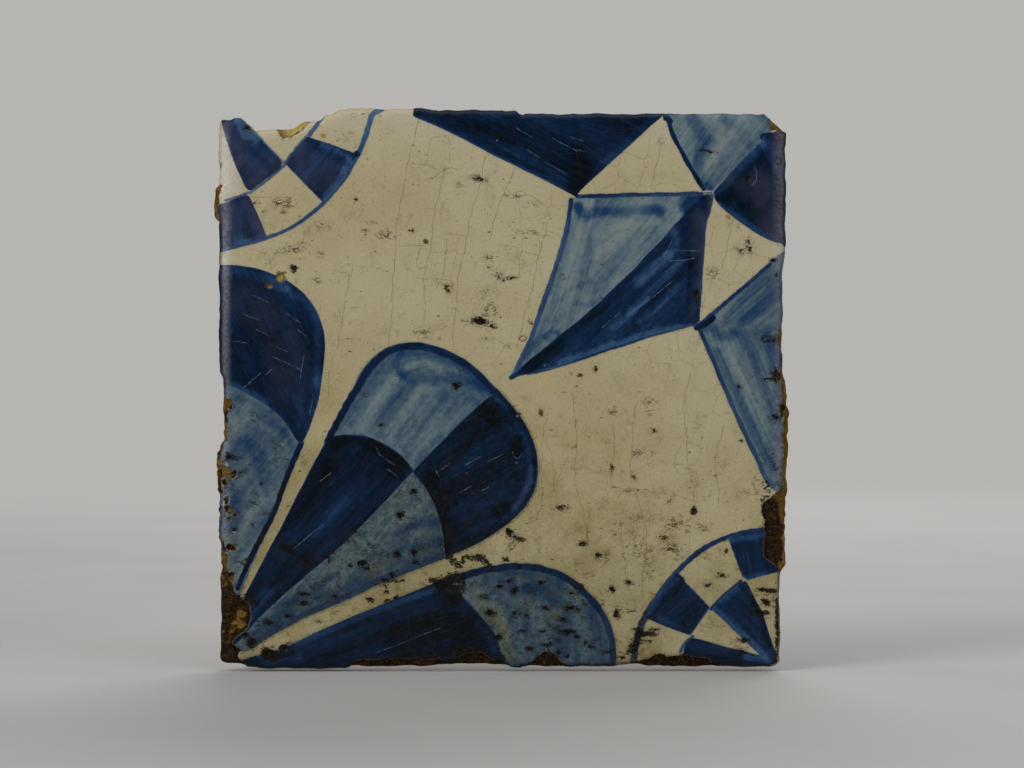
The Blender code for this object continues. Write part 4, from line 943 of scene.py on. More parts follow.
# The head of the big petal was filled with turning strokes.
bow = (gy < 384 + 0.25 * (gx - 430)) & (to_shape(gx, gy, PETAL_C, 2.0) < 0.8) & (gx > 396)
upper = (to_shape(gx, gy, KITE_R, 2.0) < 0.8) & (gy < 322 + 0.12 * (gx - 700))
a = math.radians(-41)
along[upper] = (gx * math.cos(a) + gy * math.sin(a))[upper]
across[upper] = (-gx * math.sin(a) + gy * math.cos(a))[upper]
radius_at = np.hypot(gx - 432, (gy - 420) * 1.15)
angle_at = np.arctan2(gy - 420, gx - 432)
across[bow] = radius_at[bow]
along[bow] = angle_at[bow] * 60.0
# The strip along the left of the kite's light half was brushed downwards.
strip = (to_shape(gx, gy, KITE, 2.0) < 0.8) & (gx < 594) & (to_shape(gx, gy, KITE_DARK, 2.0) > 0)
a = math.radians(108)
along[strip] = (gx * math.cos(a) + gy * math.sin(a))[strip]
across[strip] = (-gx * math.sin(a) + gy * math.cos(a))[strip]

hole = pit_distance(gx, gy, "h") - 0.38 * rise(500, 570, gy)
ring = np.full(gx.shape, 16.0)
for one in PITS:
    if one[6] != "r":
        continue
    px, py, rx, ry, tilt = one[:5]
    a = math.radians(-tilt)
    dx, dy = gx - px, gy - py
    k = np.hypot((dx * math.cos(a) - dy * math.sin(a)) / rx, (dx * math.sin(a) + dy * math.cos(a)) / ry)
    ring = np.minimum(ring, np.abs(k - 0.82) * min(rx, ry) - 0.55)
broad = 0.55 * noise(along * U * 0.055, across * U * 0.26, 1.0, 65, 2)
wash_tone = wash_tone + broad * 0.6
dark_tone = dark_tone + broad * 0.4
dirt = 0.34 + 0.45 * rise(330, 640, gy) + 0.25 * rise(640, 780, gx) * rise(360, 500, gy)
dirt = dirt + 0.55 * np.exp(-(((gx - 300) / 40) ** 2 + ((gy - 250) / 34) ** 2)) + 0.2 * np.exp(-(((gx - 500) / 60) ** 2 + ((gy - 240) / 60) ** 2))
dirt = dirt + 0.5 * np.exp(-(((gx - 675) / 40) ** 2 + ((gy - 535) / 28) ** 2)) + 0.4 * np.exp(-(((gx - 770) / 18) ** 2 + ((gy - 610) / 40) ** 2))
dirt = dirt + 0.3 * np.exp(-(((gx - 540) / 60) ** 2 + ((gy - 620) / 35) ** 2)) - 0.15 * rise(330, 250, gy) * rise(560, 700, gx)
# The cream's tone: cloudy at random, with painted light and shade: paler at the top and by the left edge, darker toward
# the bottom, where it is partly dirt.
cream_tone_and_shading = 0.36 + 0.30 * noise(all_x, all_z, 22.0, 61, 3) + (0.16 + 0.14 * rise(380, 480, gy)) * noise(all_x, all_z, 5.0, 66, 3)
cream_tone_and_shading = cream_tone_and_shading + 0.52 * rise(250, 600, gy) - 0.30 * rise(200, 112, gy) - 0.2 * rise(240, 215, gx) - 0.12 * rise(560, 700, gx) * rise(300, 400, gy) - 0.12 * rise(150, 125, gy)
bloom_and_sheen = bloom_and_sheen * (0.70 + 0.55 * noise(all_x, all_z, 2.4, 67, 3))
dirt = dirt + 0.45 * (1.0 - rise(2.0, 9.0, to_line(gx, gy, bend([(238, 602), (262, 548), (300, 470), (322, 430)], 3), 10.0)))
dirt = dirt + 0.5 * peppered
tan = rise(0.1, 0.5, noise(all_x, all_z, 6.0, 68, 3)) * rise(430, 640, gy)
worn_thin = smears(gx, gy, (
    ([(474, 592), (488, 608), (500, 628), (508, 652)], 15, 1.3), ([(518, 602), (531, 607)], 13, 0.7), ([(502, 656), (520, 661)], 10, 0.7),
    ([(566, 588), (573, 597)], 9, 0.6), ([(535, 574), (552, 578)], 8, 0.5), ([(408, 488), (396, 505), (384, 520)], 12, 0.6),
    ([(345, 556), (330, 566)], 10, 0.5), ([(392, 560), (372, 572)], 10, 0.5),
))
tan = np.clip(tan + worn_thin * (0.75 + 0.5 * noise(all_x, all_z, 3.0, 96, 3)), 0.0, 1.4)
craze = rise(-0.25, 0.35, noise(all_x, all_z, 14.0, 69, 2))
craze_fine = rise(0.0, 0.5, noise(all_x, all_z, 9.0, 70, 2))
# Painted highlight where the rolled glaze catches the light: a band down the left edge, a fainter one by the right
# edge, and a whiter patch on the cream at the top left.
roll = rise(220.5, 223.5, gx) * rise(232, 226, gx)
rim_highlight = 0.62 * roll * rise(600, 540, gy) * rise(118, 150, gy) * (0.7 + 0.3 * rise(330, 250, gy)) + 0.3 * rise(770, 780, gx) * rise(788, 782, gx) * rise(560, 480, gy)
rim_highlight = np.maximum(rim_highlight, 0.7 * rise(249, 226, gx) * rise(118, 140, gy) * rise(215, 190, gy) * rise(0.2, 0.6, wash) * rise(0.2, 0.6, dark))
# Painted shade: a dark line along the outermost edges, strongest down the left and right sides and along the bottom,
# where the rolled glaze turns from the light.
to_edge = np.maximum(-outside(all_x, all_z, LEFT_WEAR, RIGHT_WEAR, TOP_WEAR, BOTTOM_WEAR), 0.0)
left_side = rise(-61.0, -64.0, all_x) * rise(180, 230, gy)
right_side = rise(61.0, 64.0, all_x) * rise(320, 380, gy)
low_side = rise(-60.0, -63.0, all_z)
edge_shade = np.clip(rise(0.95, 0.25, to_edge) * np.maximum(0.75 * left_side, np.maximum(0.8 * right_side, 0.85 * low_side)) + 0.25 * rise(0.8, 0.2, to_edge), 0.0, 1.0)
fields = {
    "dark": dark * U, "wash": wash * U, "line": line * U, "wash_tone": wash_tone, "dark_tone": dark_tone, "bloom_and_sheen": bloom_and_sheen,
    "grime": grime, "hole": hole * U, "ring": ring * U, "stain": pit_distance(gx, gy, "s") * U,
    "ochre": pit_distance(gx, gy, "o") * U, "blue_dot": pit_distance(gx, gy, "b") * U, "white_fleck_and_glint": pit_distance(gx, gy, "w") * U,
    "yellow": pit_distance(gx, gy, "y") * U, "dirt": dirt, "cream_tone_and_shading": cream_tone_and_shading, "scratch": scratch_distance(gx, gy) * U, "crack": crack_distance(gx, gy) * U,
    "dirt_and_shade_film": dirt_and_shade_film, "line_tone": line_tone, "edge": edge_shade, "tan": tan, "craze": craze, "craze_fine": craze_fine,
    "pepper": peppered, "broken": np.minimum(outside_glaze(all_x, all_z), 4.0), "rim_highlight": rim_highlight, "sway": sway, "scribble": scribble,
}
# The crazing leans a little to the right as it goes up, and wanders.
bent_x = all_x - 0.16 * all_z + 1.7 * noise(all_x, all_z, 17.0, 62, 2) + 0.25 * noise(all_x, all_z, 3.0, 63, 2)
bent_z = all_z + 0.10 * all_x + 1.7 * noise(all_x, all_z, 15.0, 64, 2) + 0.25 * noise(all_x, all_z, 3.0, 65, 2)
glaze = make_mesh("tile_glaze", points, faces, fields, {
    "brush": np.stack([along * U, across * U, np.zeros_like(gx)], axis=1),
    "bent": np.stack([bent_x, bent_z, np.zeros_like(gx)], axis=1),
})
at = corner_vertices(glaze.data)
map_x, map_z = points[at, 0] / 138.0 + 0.5, points[at, 2] / 138.0 + 0.5
first = np.empty(len(glaze.data.polygons), np.int32)
glaze.data.polygons.foreach_get("loop_start", first)
sizes = np.empty(len(glaze.data.polygons), np.int32)
glaze.data.polygons.foreach_get("loop_total", sizes)
of_face = np.repeat(np.arange(len(sizes)), sizes)
# The hidden underside is laid very small in a corner of the map.
under_side = of_face == len(sizes) - 1
map_x = np.where(under_side, 0.004 + points[at, 0] / 138.0 * 0.006, map_x)
map_z = np.where(under_side, 0.004 + points[at, 2] / 138.0 * 0.006, map_z)
# The skirt is spread just outside the face, so that it has a strip of its own.
depth_of = np.zeros(len(points))
for k, row in enumerate(rows[1:]):
    depth_of[row] = (0.35, 0.6, 1.4)[k]
grow = 1.0 + np.where(under_side, 0.0, depth_of[at]) / 66.0 * 1.0
map_x = np.where(under_side, map_x, 0.5 + (map_x - 0.5) * grow)
map_z = np.where(under_side, map_z, 0.5 + (map_z - 0.5) * grow)
map_uv(glaze, np.stack([map_x, map_z], axis=1))
print("glaze faces", len(faces), "vertices", len(points))

# --- the clay ------------------------------------------------------------------
CLAY_CELLS = 80
u, v = centres(CLAY_CELLS)
x, z = u * HALF_W, v * HALF_H
lost = outside_glaze(x, z)
level = np.where(lost > -0.8, 2, 0)
to_side = -outside_clay(x, z)
level = np.where(to_side < 2.0, np.maximum(level, 1), level)
uf, vf, front_sheet, front_loop = sheet(CLAY_CELLS, level, border=2)
xf, zf = onto_outline(uf, vf)
yf = -THICKNESS + clay_fall(xf, zf)
level = np.where(np.maximum(np.abs(u), np.abs(v)) > 0.96, 1, 1)
ub, vb, back_sheet, back_loop = sheet(CLAY_CELLS, level, border=2)
xb, zb = onto_outline(ub, vb)
shrink = 1.0 - (BACK_INSET + BACK_ARRIS + 0.2) / 65.0
xb, zb = xb * shrink, zb * shrink
to_back_edge = HALF_H - np.maximum(np.abs(zb), np.abs(xb) - (HALF_W - HALF_H)) - 2.0
# The back: scraped flat, with sand pocks and the drag of the board, none standing proud of the bed.
scrape = 0.07 * noise(xb * 0.25, zb, 3.0, 71, 3) + 0.06 * noise(xb, zb, 17.0, 72, 2)
pocks = np.clip(noise(xb, zb, 2.6, 73, 2) - 0.42, 0.0, 1.0) * 0.9 + np.clip(noise(xb, zb, 7.0, 74) - 0.62, 0.0, 1.0) * 1.4
yb = -0.04 - np.abs(scrape) * rise(0.0, 2.0, to_back_edge) - pocks * rise(0.3, 2.0, to_back_edge)
points = [np.stack([xf, yf, zf], axis=1)]
faces = list(front_sheet)
start = len(xf)
previous = np.array(front_loop)
rim_x, rim_y, rim_z = xf[front_loop], yf[front_loop], zf[front_loop]
SIDE_ROWS = 15
side_faces_from = len(faces)
for k in range(1, SIDE_ROWS):
    part = k / SIDE_ROWS
    # swell, then lean in to the smaller back, then the worn arris
    inwards = 0.12 * math.sin(math.pi * min(part * 1.6, 1.0)) + BACK_INSET * rise(0.15, 1.0, np.array(part)) + 0.35 * max(part - 0.85, 0.0) / 0.15
    yy = rim_y * (1.0 - part)
    rough = 0.16 * noise(rim_x + rim_z, yy * 1.6 + rim_x * 0.3, 1.9, 81, 3) + 0.10 * noise(rim_x - rim_z, yy, 0.8, 82)
    drag = 0.10 * noise((rim_x + rim_z) * 0.12, yy, 0.7, 83)
    shrink = 1.0 - (inwards + (rough + drag) * min(1.0, 4.0 * part)) / 65.0
    row = np.stack([rim_x * shrink, yy, rim_z * shrink], axis=1)
    points.append(row)
    now = start + np.arange(len(row))
    start += len(row)
    faces += np.stack([previous, now, np.roll(now, -1), np.roll(previous, -1)], axis=1).tolist()
    previous = now
back_at = start
points.append(np.stack([xb, yb, zb], axis=1))
now = back_at + np.array(back_loop)
faces += np.stack([previous, now, np.roll(now, -1), np.roll(previous, -1)], axis=1).tolist()
side_faces_to = len(faces)
faces += [[back_at + i for i in face[::-1]] for face in back_sheet]
points = np.vstack(points)
gx, gy = grid_x(points[:, 0]), grid_y(points[:, 2])
is_front = np.zeros(len(points))
is_front[: len(xf)] = 1.0
fresh = np.exp(-(((gx - 296) / 15) ** 2 + ((gy - 127) / 12) ** 2) ** 2) * rise(0.2, -1.0, points[:, 1] + 5.5)
fresh = fresh + (0.8 * np.exp(-(((gx - 280.5) / 7) ** 2 + ((gy - 277.5) / 7) ** 2) ** 2) + 0.55 * np.exp(-(((gx - 269) / 5) ** 2 + ((gy - 286) / 5) ** 2) ** 2)) * rise(-5.0, -6.0, points[:, 1])
soil = 0.35 + 0.25 * noise(points[:, 0], points[:, 2], 9.0, 91, 3)
soil = soil + 0.7 * rise(572, 592, gy) * rise(262, 245, gx) * rise(-5.0, -6.0, points[:, 1])
soil = soil - 0.34 * np.exp(-(((gx - 240) / 9) ** 2 + ((gy - 616) / 14) ** 2)) + 0.3 * np.exp(-(((gx - 217) / 6) ** 2 + ((gy - 203) / 20) ** 2)) - 0.5 * np.exp(-(((gx - 232) / 8) ** 2 + ((gy - 652) / 7) ** 2))
soil = soil + 1.1 * np.exp(-(((gx - 770) / 13) ** 2 + ((gy - 535) / 40) ** 2) ** 2) * rise(-5.0, -6.0, points[:, 1])
soil = soil - 0.55 * rise(783, 786, gx) * rise(600, 560, gy)
soil = soil + 0.75 * rise(640, 652, gy) * rise(-5.0, -6.0, points[:, 1]) - 0.35 * np.exp(-(((gx - 428) / 20) ** 2 + ((gy - 663) / 5) ** 2))
soil = soil + (0.16 + 1.15 * noise(points[:, 0], points[:, 2], 1.5, 94, 3)) * rise(256, 246, gx) * rise(380, 400, gy) * rise(-4.0, -5.5, points[:, 1])
soil = soil + (0.10 + 0.9 * noise(points[:, 0], points[:, 2], 1.3, 95, 3)) * rise(778, 782, gx) * rise(370, 385, gy) * rise(-3.0, -5.0, points[:, 1])
soil = soil - 0.5 * rise(128, 112, gy)
backness = np.zeros(len(points))
backness[back_at:] = 1.0
clay = make_mesh("tile_clay", points, faces, {"fresh": fresh, "soil": soil, "back": backness})
at = corner_vertices(clay.data)
sizes = np.array([len(f) for f in faces])
of_face = np.repeat(np.arange(len(sizes)), sizes)
on_back = of_face >= side_faces_to
on_front = of_face < side_faces_from
px, py, pz = points[at, 0], points[at, 1], points[at, 2]
# The map: the back on the left, the front on the right above, the four sides in strips below it.
S = 0.54 / 136.0
map_x = np.where(on_back, 0.01 + (66.8 - px) * S, 0.0)
map_y = np.where(on_back, 0.44 + (pz + 66.0) * S, 0.0)
F = 0.40 / 136.0
map_x = np.where(on_front, 0.57 + (px + 68.0) * F, map_x)
map_y = np.where(on_front, 0.57 + (pz + 68.0) * F, map_y)
side = ~(on_back | on_front)
middle_x = np.bincount(of_face, px) / np.maximum(sizes, 1)
middle_z = np.bincount(of_face, pz) / np.maximum(sizes, 1)
which = np.where(
    np.abs(middle_x) / HALF_W > np.abs(middle_z) / HALF_H, np.where(middle_x > 0, 0, 1), np.where(middle_z > 0, 2, 3)
)[of_face]
run = np.where(which < 2, pz, px)
L = 0.96 / 138.0
map_x = np.where(side, 0.02 + (run + 69.0) * L, map_x)
map_y = np.where(side, 0.03 + which * 0.09 + (py + 8.2) / 8.4 * 0.07, map_y)
map_uv(clay, np.stack([map_x, map_y], axis=1))
print("clay faces", len(faces), "vertices", len(points))


# ---------------------------------------------------------------------------
# Materials
# ---------------------------------------------------------------------------
def linear(r, g, b):
    def one(c):
        c /= 255.0
        return c / 12.92 if c <= 0.04045 else ((c + 0.055) / 1.055) ** 2.4
    return (one(r), one(g), one(b), 1.0)


LIGHTING = 0.66   # how bright the studio light shows a white surface: colours seen are divided by this


def seen(r, g, b):
    """The surface colour that shows as this one in the studio's light."""
    c = linear(r, g, b)
    return tuple(min(k / LIGHTING, 0.95) for k in c[:3]) + (1.0,)


class Nodes:
    def __init__(self, material, dimensions="3D"):
        material.use_nodes = True
        self.dimensions = dimensions
        self.tree = material.node_tree
        self.shader = self.tree.nodes["Principled BSDF"]

    def add(self, kind, **settings):
        node = self.tree.nodes.new(kind)
        for key, value in settings.items():
            setattr(node, key, value)
        return node

    def put(self, value, socket):
        if isinstance(value, bpy.types.NodeSocket):
            self.tree.links.new(value, socket)
        elif isinstance(value, (tuple, list)) and len(value) == 4 and len(socket.default_value) == 3:
            socket.default_value = value[:3]
        else:
            socket.default_value = value

    def math(self, how, a, b=0.0, c=0.0, clamp=False):
        node = self.add("ShaderNodeMath", operation=how, use_clamp=clamp)
        for value, socket in zip((a, b, c), node.inputs):
            self.put(value, socket)
        return node.outputs[0]

    def vec(self, how, a, b=(0, 0, 0), scale=None):
        node = self.add("ShaderNodeVectorMath", operation=how)
        self.put(a, node.inputs[0])
        if how != "SCALE":
            self.put(b, node.inputs[1])
        if scale is not None:
            self.put(scale, node.inputs["Scale"])
        return node.outputs["Value" if how in ("DOT_PRODUCT", "LENGTH") else "Vector"]

    def attr(self, name, output="Fac"):
        return self.add("ShaderNodeAttribute", attribute_name=name).outputs[output]

    def step(self, low, high, value, to=(0.0, 1.0)):
        """A smooth step from low to high."""
        node = self.add("ShaderNodeMapRange", interpolation_type="SMOOTHSTEP", clamp=True)
        self.put(value, node.inputs["Value"])
        self.put(low, node.inputs["From Min"])
        self.put(high, node.inputs["From Max"])
        self.put(to[0], node.inputs["To Min"])
        self.put(to[1], node.inputs["To Max"])
        return node.outputs["Result"]

    def mix(self, share, a, b, how="MIX"):
        node = self.add("ShaderNodeMix", data_type="RGBA", blend_type=how, clamp_factor=True)
        self.put(share, node.inputs[0])
        self.put(a, node.inputs[6])
        self.put(b, node.inputs[7])
        return node.outputs[2]

    def noise(self, where, scale, detail=2.0, rough=0.5, distort=0.0, output="Fac"):
        node = self.add("ShaderNodeTexNoise", noise_dimensions=self.dimensions)
        self.put(where, node.inputs["Vector"])
        for key, value in (("Scale", scale), ("Detail", detail), ("Roughness", rough), ("Distortion", distort)):
            self.put(value, node.inputs[key])
        return node.outputs[output]

    def voronoi(self, where, scale, feature="F1", random=1.0, output="Distance"):
        node = self.add("ShaderNodeTexVoronoi", voronoi_dimensions=self.dimensions, feature=feature)
        self.put(where, node.inputs["Vector"])
        self.put(scale, node.inputs["Scale"])
        self.put(random, node.inputs["Randomness"])
        return node.outputs[output]

    def stretch(self, where, by, move=(0.0, 0.0, 0.0)):
        node = self.add("ShaderNodeMapping")
        self.put(where, node.inputs["Vector"])
        self.put(by, node.inputs["Scale"])
        self.put(move, node.inputs["Location"])
        return node.outputs["Vector"]

    def ramp(self, share, stops):
        node = self.add("ShaderNodeValToRGB")
        node.color_ramp.interpolation = "LINEAR"
        elements = node.color_ramp.elements
        while len(elements) < len(stops):
            elements.new(0.5)
        for element, (at, colour) in zip(elements, stops):
            element.position = at
            element.color = colour
        self.put(share, node.inputs["Fac"])
        return node.outputs["Color"]

    def bump(self, height, distance, strength=1.0, normal=None):
        node = self.add("ShaderNodeBump")
        self.put(strength, node.inputs["Strength"])
        self.put(distance, node.inputs["Distance"])
        self.put(height, node.inputs["Height"])
        if normal is not None:
            self.put(normal, node.inputs["Normal"])
        return node.outputs["Normal"]


def glaze_material():
    material = bpy.data.materials.new("painted_tin_glaze")
    n = Nodes(material, "2D")
    place = n.add("ShaderNodeTexCoord").outputs["Object"]
    # x to the right and z up become the two axes of the textures, in millimetres
    turn = n.add("ShaderNodeMapping")
    n.put(place, turn.inputs["Vector"])
    turn.inputs["Scale"].default_value = (1000.0, 0.0, 1000.0)
    turn.inputs["Rotation"].default_value = (math.radians(-90.0), 0.0, 0.0)
    flat = turn.outputs["Vector"]

    # The cream ground, cloudy at every size, with painted light and shade: paler at the top and by the left edge,
    # darker toward the bottom.
    fine = n.noise(flat, 1.3, 3.0, 0.6)
    cream_tone_and_shading = n.math("ADD", n.attr("cream_tone_and_shading"), n.math("MULTIPLY", n.math("SUBTRACT", fine, 0.5), 0.55))
    cream = n.ramp(cream_tone_and_shading, ((0.0, seen(164, 156, 132)), (0.35, seen(159, 149, 119)), (0.7, seen(151, 141, 107)), (1.0, seen(134, 124, 88))))

    # Brush streaks along each field's own direction.
    brush = n.attr("brush", "Vector")
    streak = n.noise(n.stretch(brush, (0.055, 0.95, 1.0)), 1.0, 3.0, 0.62, 0.1)
    hair = n.noise(n.stretch(brush, (0.10, 4.6, 1.0)), 1.0, 3.0, 0.6)
    mottle = n.noise(flat, 0.6, 4.0, 0.65)
    swing = n.math("ADD", n.math("MULTIPLY", n.math("SUBTRACT", streak, 0.5), 1.15), n.math("MULTIPLY", n.math("SUBTRACT", hair, 0.5), 0.55))

    wobble = n.math("MULTIPLY", n.math("SUBTRACT", n.noise(flat, 1.7, 2.0, 0.6), 0.5), 0.20)
    wash_at = n.math("ADD", n.attr("wash"), wobble)
    line_at = n.math("ADD", n.attr("line"), wobble)
    dark_at = n.math("ADD", n.attr("dark"), wobble)
    wash_in = n.step(0.07, -0.13, wash_at)
    line_in = n.step(0.13, -0.20, line_at)
    dark_in = n.step(0.09, -0.15, dark_at)

    # Thin cobalt: greenish grey where the brush ran dry, bluer where it pooled.
    wash_tone = n.math("ADD", n.attr("wash_tone"), n.math("ADD", n.math("MULTIPLY", n.math("MULTIPLY", swing, n.attr("sway")), 0.62), n.math("MULTIPLY", n.math("SUBTRACT", mottle, 0.5), 0.5)))
    wash_colour = n.ramp(wash_tone, (
        (0.0, seen(112, 121, 118)), (0.2, seen(98, 112, 117)), (0.4, seen(80, 98, 108)), (0.6, seen(61, 80, 96)),
        (0.8, seen(40, 64, 91)), (1.0, seen(20, 48, 84))))
    wash_colour = n.mix(n.math("MULTIPLY", n.attr("tan"), 0.50), wash_colour, seen(94, 98, 70))
    # Thick cobalt: nearly black in the middle, bluer at its edges and in its streaks.
    dark_tone = n.math("ADD", n.attr("dark_tone"), n.math("ADD", n.math("MULTIPLY", swing, 0.40), n.math("MULTIPLY", n.math("SUBTRACT", mottle, 0.5), 0.35)))
    dark_tone = n.math("ADD", dark_tone, n.step(-0.55, -0.05, dark_at, (0.0, 0.24)))
    dark_colour = n.ramp(dark_tone, (
        (0.0, seen(4, 8, 13)), (0.25, seen(4, 17, 33)), (0.5, seen(9, 30, 56)), (0.75, seen(24, 48, 80)), (1.0, seen(47, 72, 101))))
    line_colour = n.ramp(n.math("ADD", n.attr("line_tone"), n.math("MULTIPLY", swing, 0.8)), ((0.0, seen(20, 39, 70)), (0.5, seen(48, 72, 101)), (1.0, seen(83, 104, 120))))

    bleed = n.math("MINIMUM", dark_at, n.math("MINIMUM", wash_at, line_at))
    colour = n.mix(n.step(0.8, 0.0, bleed, (0.0, 0.10)), cream, seen(98, 108, 112))
    colour = n.mix(wash_in, colour, wash_colour)
    colour = n.mix(line_in, colour, line_colour)
    colour = n.mix(dark_in, colour, dark_colour)
    painted = n.math("MAXIMUM", dark_in, n.math("MAXIMUM", wash_in, line_in))

    # A film of dirt with painted shade darkening the lower left, a purplish bloom over the worn paint with painted
    # sheen near the edges, a painted highlight on the rolled edges, and painted shade along the outermost edges.
    colour = n.mix(n.math("MULTIPLY", n.math("MULTIPLY", n.attr("dirt_and_shade_film"), n.step(0.25, 0.75, mottle, (0.6, 1.3))), n.math("SUBTRACT", 1.0, n.math("MULTIPLY", dark_in, 0.85))), colour, seen(30, 29, 10))
    # Purplish grey bloom, partly a painted sheen along the edges.
    bloom_and_sheen = n.attr("bloom_and_sheen")
    colour = n.mix(n.math("MULTIPLY", bloom_and_sheen, n.math("MULTIPLY", painted, 0.60)), colour, seen(58, 60, 82))
    # Painted highlight on the rolled edges: whitish on the cream, lilac grey on the paint.
    highlight_colour = n.mix(painted, seen(182, 181, 176), seen(126, 122, 132))
    colour = n.mix(n.math("MULTIPLY", n.attr("rim_highlight"), n.step(0.35, 0.65, fine, (0.45, 1.0))), colour, highlight_colour)
    # Painted shade along the outermost edges: brown on the cream, blue black on the paint.
    colour = n.mix(n.math("MULTIPLY", n.attr("edge"), n.step(0.3, 0.6, mottle, (0.55, 1.0))), colour, n.mix(painted, seen(86, 74, 48), seen(20, 22, 32)))

    # Crazing: a leaning net of fine cracks, and a few long ones.
    bent = n.attr("bent", "Vector")
    net = n.voronoi(n.stretch(bent, (0.20, 0.155, 1.0)), 1.0, "DISTANCE_TO_EDGE", 0.55)
    mesh = n.voronoi(n.stretch(bent, (0.47, 0.42, 1.0), (7.3, 2.9, 0.0)), 1.0, "DISTANCE_TO_EDGE", 0.75)
    crack = n.math("MULTIPLY", n.step(0.019, 0.005, net), n.math("MULTIPLY", n.attr("craze"), n.step(0.4, 0.6, mottle, (0.22, 0.75))))
    crack = n.math("MAXIMUM", crack, n.math("MULTIPLY", n.step(0.036, 0.010, mesh), n.math("MULTIPLY", n.attr("craze_fine"), 0.30)))
    long_crack = n.step(0.17, 0.04, n.math("ADD", n.attr("crack"), n.math("MULTIPLY", wobble, 0.6)))
    crack = n.math("MAXIMUM", crack, n.math("MULTIPLY", long_crack, n.step(0.3, 0.55, mottle, (0.32, 0.80))))
    colour = n.mix(n.math("MULTIPLY", crack, n.step(0.9, 0.1, painted, (0.18, 0.72))), colour, seen(84, 71, 44))

    # Peppering: short level dashes and dots of dirt, thicker where the glaze is worn.
    dirt = n.attr("dirt")
    ragged = n.math("MULTIPLY", n.math("SUBTRACT", n.noise(flat, 3.4, 2.0, 0.65), 0.5), 0.40)
    speck = None
    for index, (sx, sz, keep, size, strength) in enumerate((
        (0.34, 0.72, 0.17, 0.125, 1.0), (0.66, 1.1, 0.24, 0.14, 0.9), (1.35, 1.7, 0.22, 0.17, 0.7),
    )):
        spread = n.stretch(flat, (sx, sz, 1.0), (13.7 * index + 3.1, 29.3 * index + 7.7, 0.0))
        cell = n.add("ShaderNodeTexVoronoi", voronoi_dimensions="2D", feature="F1")
        n.put(spread, cell.inputs["Vector"])
        n.put(1.0, cell.inputs["Scale"])
        pick = n.add("ShaderNodeSeparateColor")
        n.put(cell.outputs["Color"], pick.inputs[0])
        chosen = n.step(0.0, 0.05, n.math("SUBTRACT", n.math("MULTIPLY", dirt, keep), pick.outputs[0]))
        radius = n.math("MULTIPLY", n.math("ADD", 0.35, pick.outputs[1]), size)
        dot = n.math("MULTIPLY", chosen, n.step(1.0, 0.62, n.math("DIVIDE", n.math("ADD", cell.outputs["Distance"], ragged), radius)))
        dot = n.math("MULTIPLY", dot, n.math("MULTIPLY", n.math("ADD", 0.35, pick.outputs[2]), strength))
        speck = dot if speck is None else n.math("MAXIMUM", speck, dot)
    speck_colour = n.mix(painted, n.mix(n.step(0.4, 0.6, mottle), seen(48, 38, 22), seen(88, 70, 38)), seen(16, 16, 17))
    colour = n.mix(n.math("MULTIPLY", speck, 0.9, clamp=True), colour, speck_colour)

    # Curling hair cracks full of brown dirt.
    curl = n.noise(n.stretch(flat, (0.50, 0.95, 1.0)), 1.0, 2.0, 0.6, 0.9)
    curls = n.step(0.078, 0.042, n.math("ABSOLUTE", n.math("SUBTRACT", curl, 0.5)))
    patch = n.math("MAXIMUM", n.attr("scribble"), n.math("MULTIPLY", n.step(0.56, 0.66, n.noise(flat, 0.19, 2.0, 0.5)), n.math("MULTIPLY", dirt, 0.50)))
    colour = n.mix(n.math("MULTIPLY", n.math("MULTIPLY", curls, patch), n.step(0.38, 0.52, mottle, (0.15, 1.0))), colour, n.mix(painted, seen(58, 37, 11), seen(25, 24, 14)))

    # Marks with a place of their own.
    jag = n.math("MULTIPLY", n.math("SUBTRACT", n.noise(n.stretch(flat, (0.8, 1.25, 1.0)), 3.2, 3.0, 0.7), 0.5), 1.15)
    colour = n.mix(n.step(0.10, -0.30, n.math("ADD", n.attr("stain"), jag), (0.0, 0.70)), colour, seen(80, 64, 36))
    colour = n.mix(n.step(0.16, -0.14, n.math("ADD", n.attr("ochre"), n.math("MULTIPLY", jag, 0.8)), (0.0, 0.92)), colour, seen(62, 41, 12))
    colour = n.mix(n.step(0.25, -0.20, n.math("ADD", n.attr("yellow"), n.math("MULTIPLY", jag, 0.6)), (0.0, 0.85)), colour, seen(132, 108, 34))
    colour = n.mix(n.step(0.10, -0.10, n.attr("blue_dot"), (0.0, 0.9)), colour, seen(20, 32, 62))
    ring = n.step(0.14, -0.16, n.math("ADD", n.attr("ring"), n.math("MULTIPLY", jag, 0.95)), (0.0, 0.8))
    colour = n.mix(ring, colour, n.mix(painted, seen(64, 47, 22), seen(24, 22, 18)))
    grit = n.noise(n.stretch(flat, (0.8, 1.3, 1.0)), 1.35, 5.0, 0.72)
    hole_at = n.math("ADD", n.attr("hole"), n.math("ADD", n.math("MULTIPLY", jag, 0.85), n.math("MULTIPLY", n.math("SUBTRACT", grit, 0.505), 2.3)))
    colour = n.mix(n.step(0.6, 0.1, hole_at, (0.0, 0.16)), colour, n.mix(painted, seen(84, 66, 40), seen(34, 34, 34)))
    hole = n.step(0.10, -0.10, hole_at)
    colour = n.mix(hole, colour, n.mix(n.math("MULTIPLY", n.step(0.42, 0.6, curl), n.math("SUBTRACT", 1.0, painted)), seen(8, 6, 3), seen(38, 24, 9)))
    # White flecks of bare glaze, some of them painted glints of light.
    white = n.step(0.02, -0.30, n.math("ADD", n.attr("white_fleck_and_glint"), n.math("MULTIPLY", jag, 0.35)), (0.0, 0.7))
    colour = n.mix(n.math("MULTIPLY", white, n.math("SUBTRACT", 1.0, hole)), colour, seen(158, 160, 164))

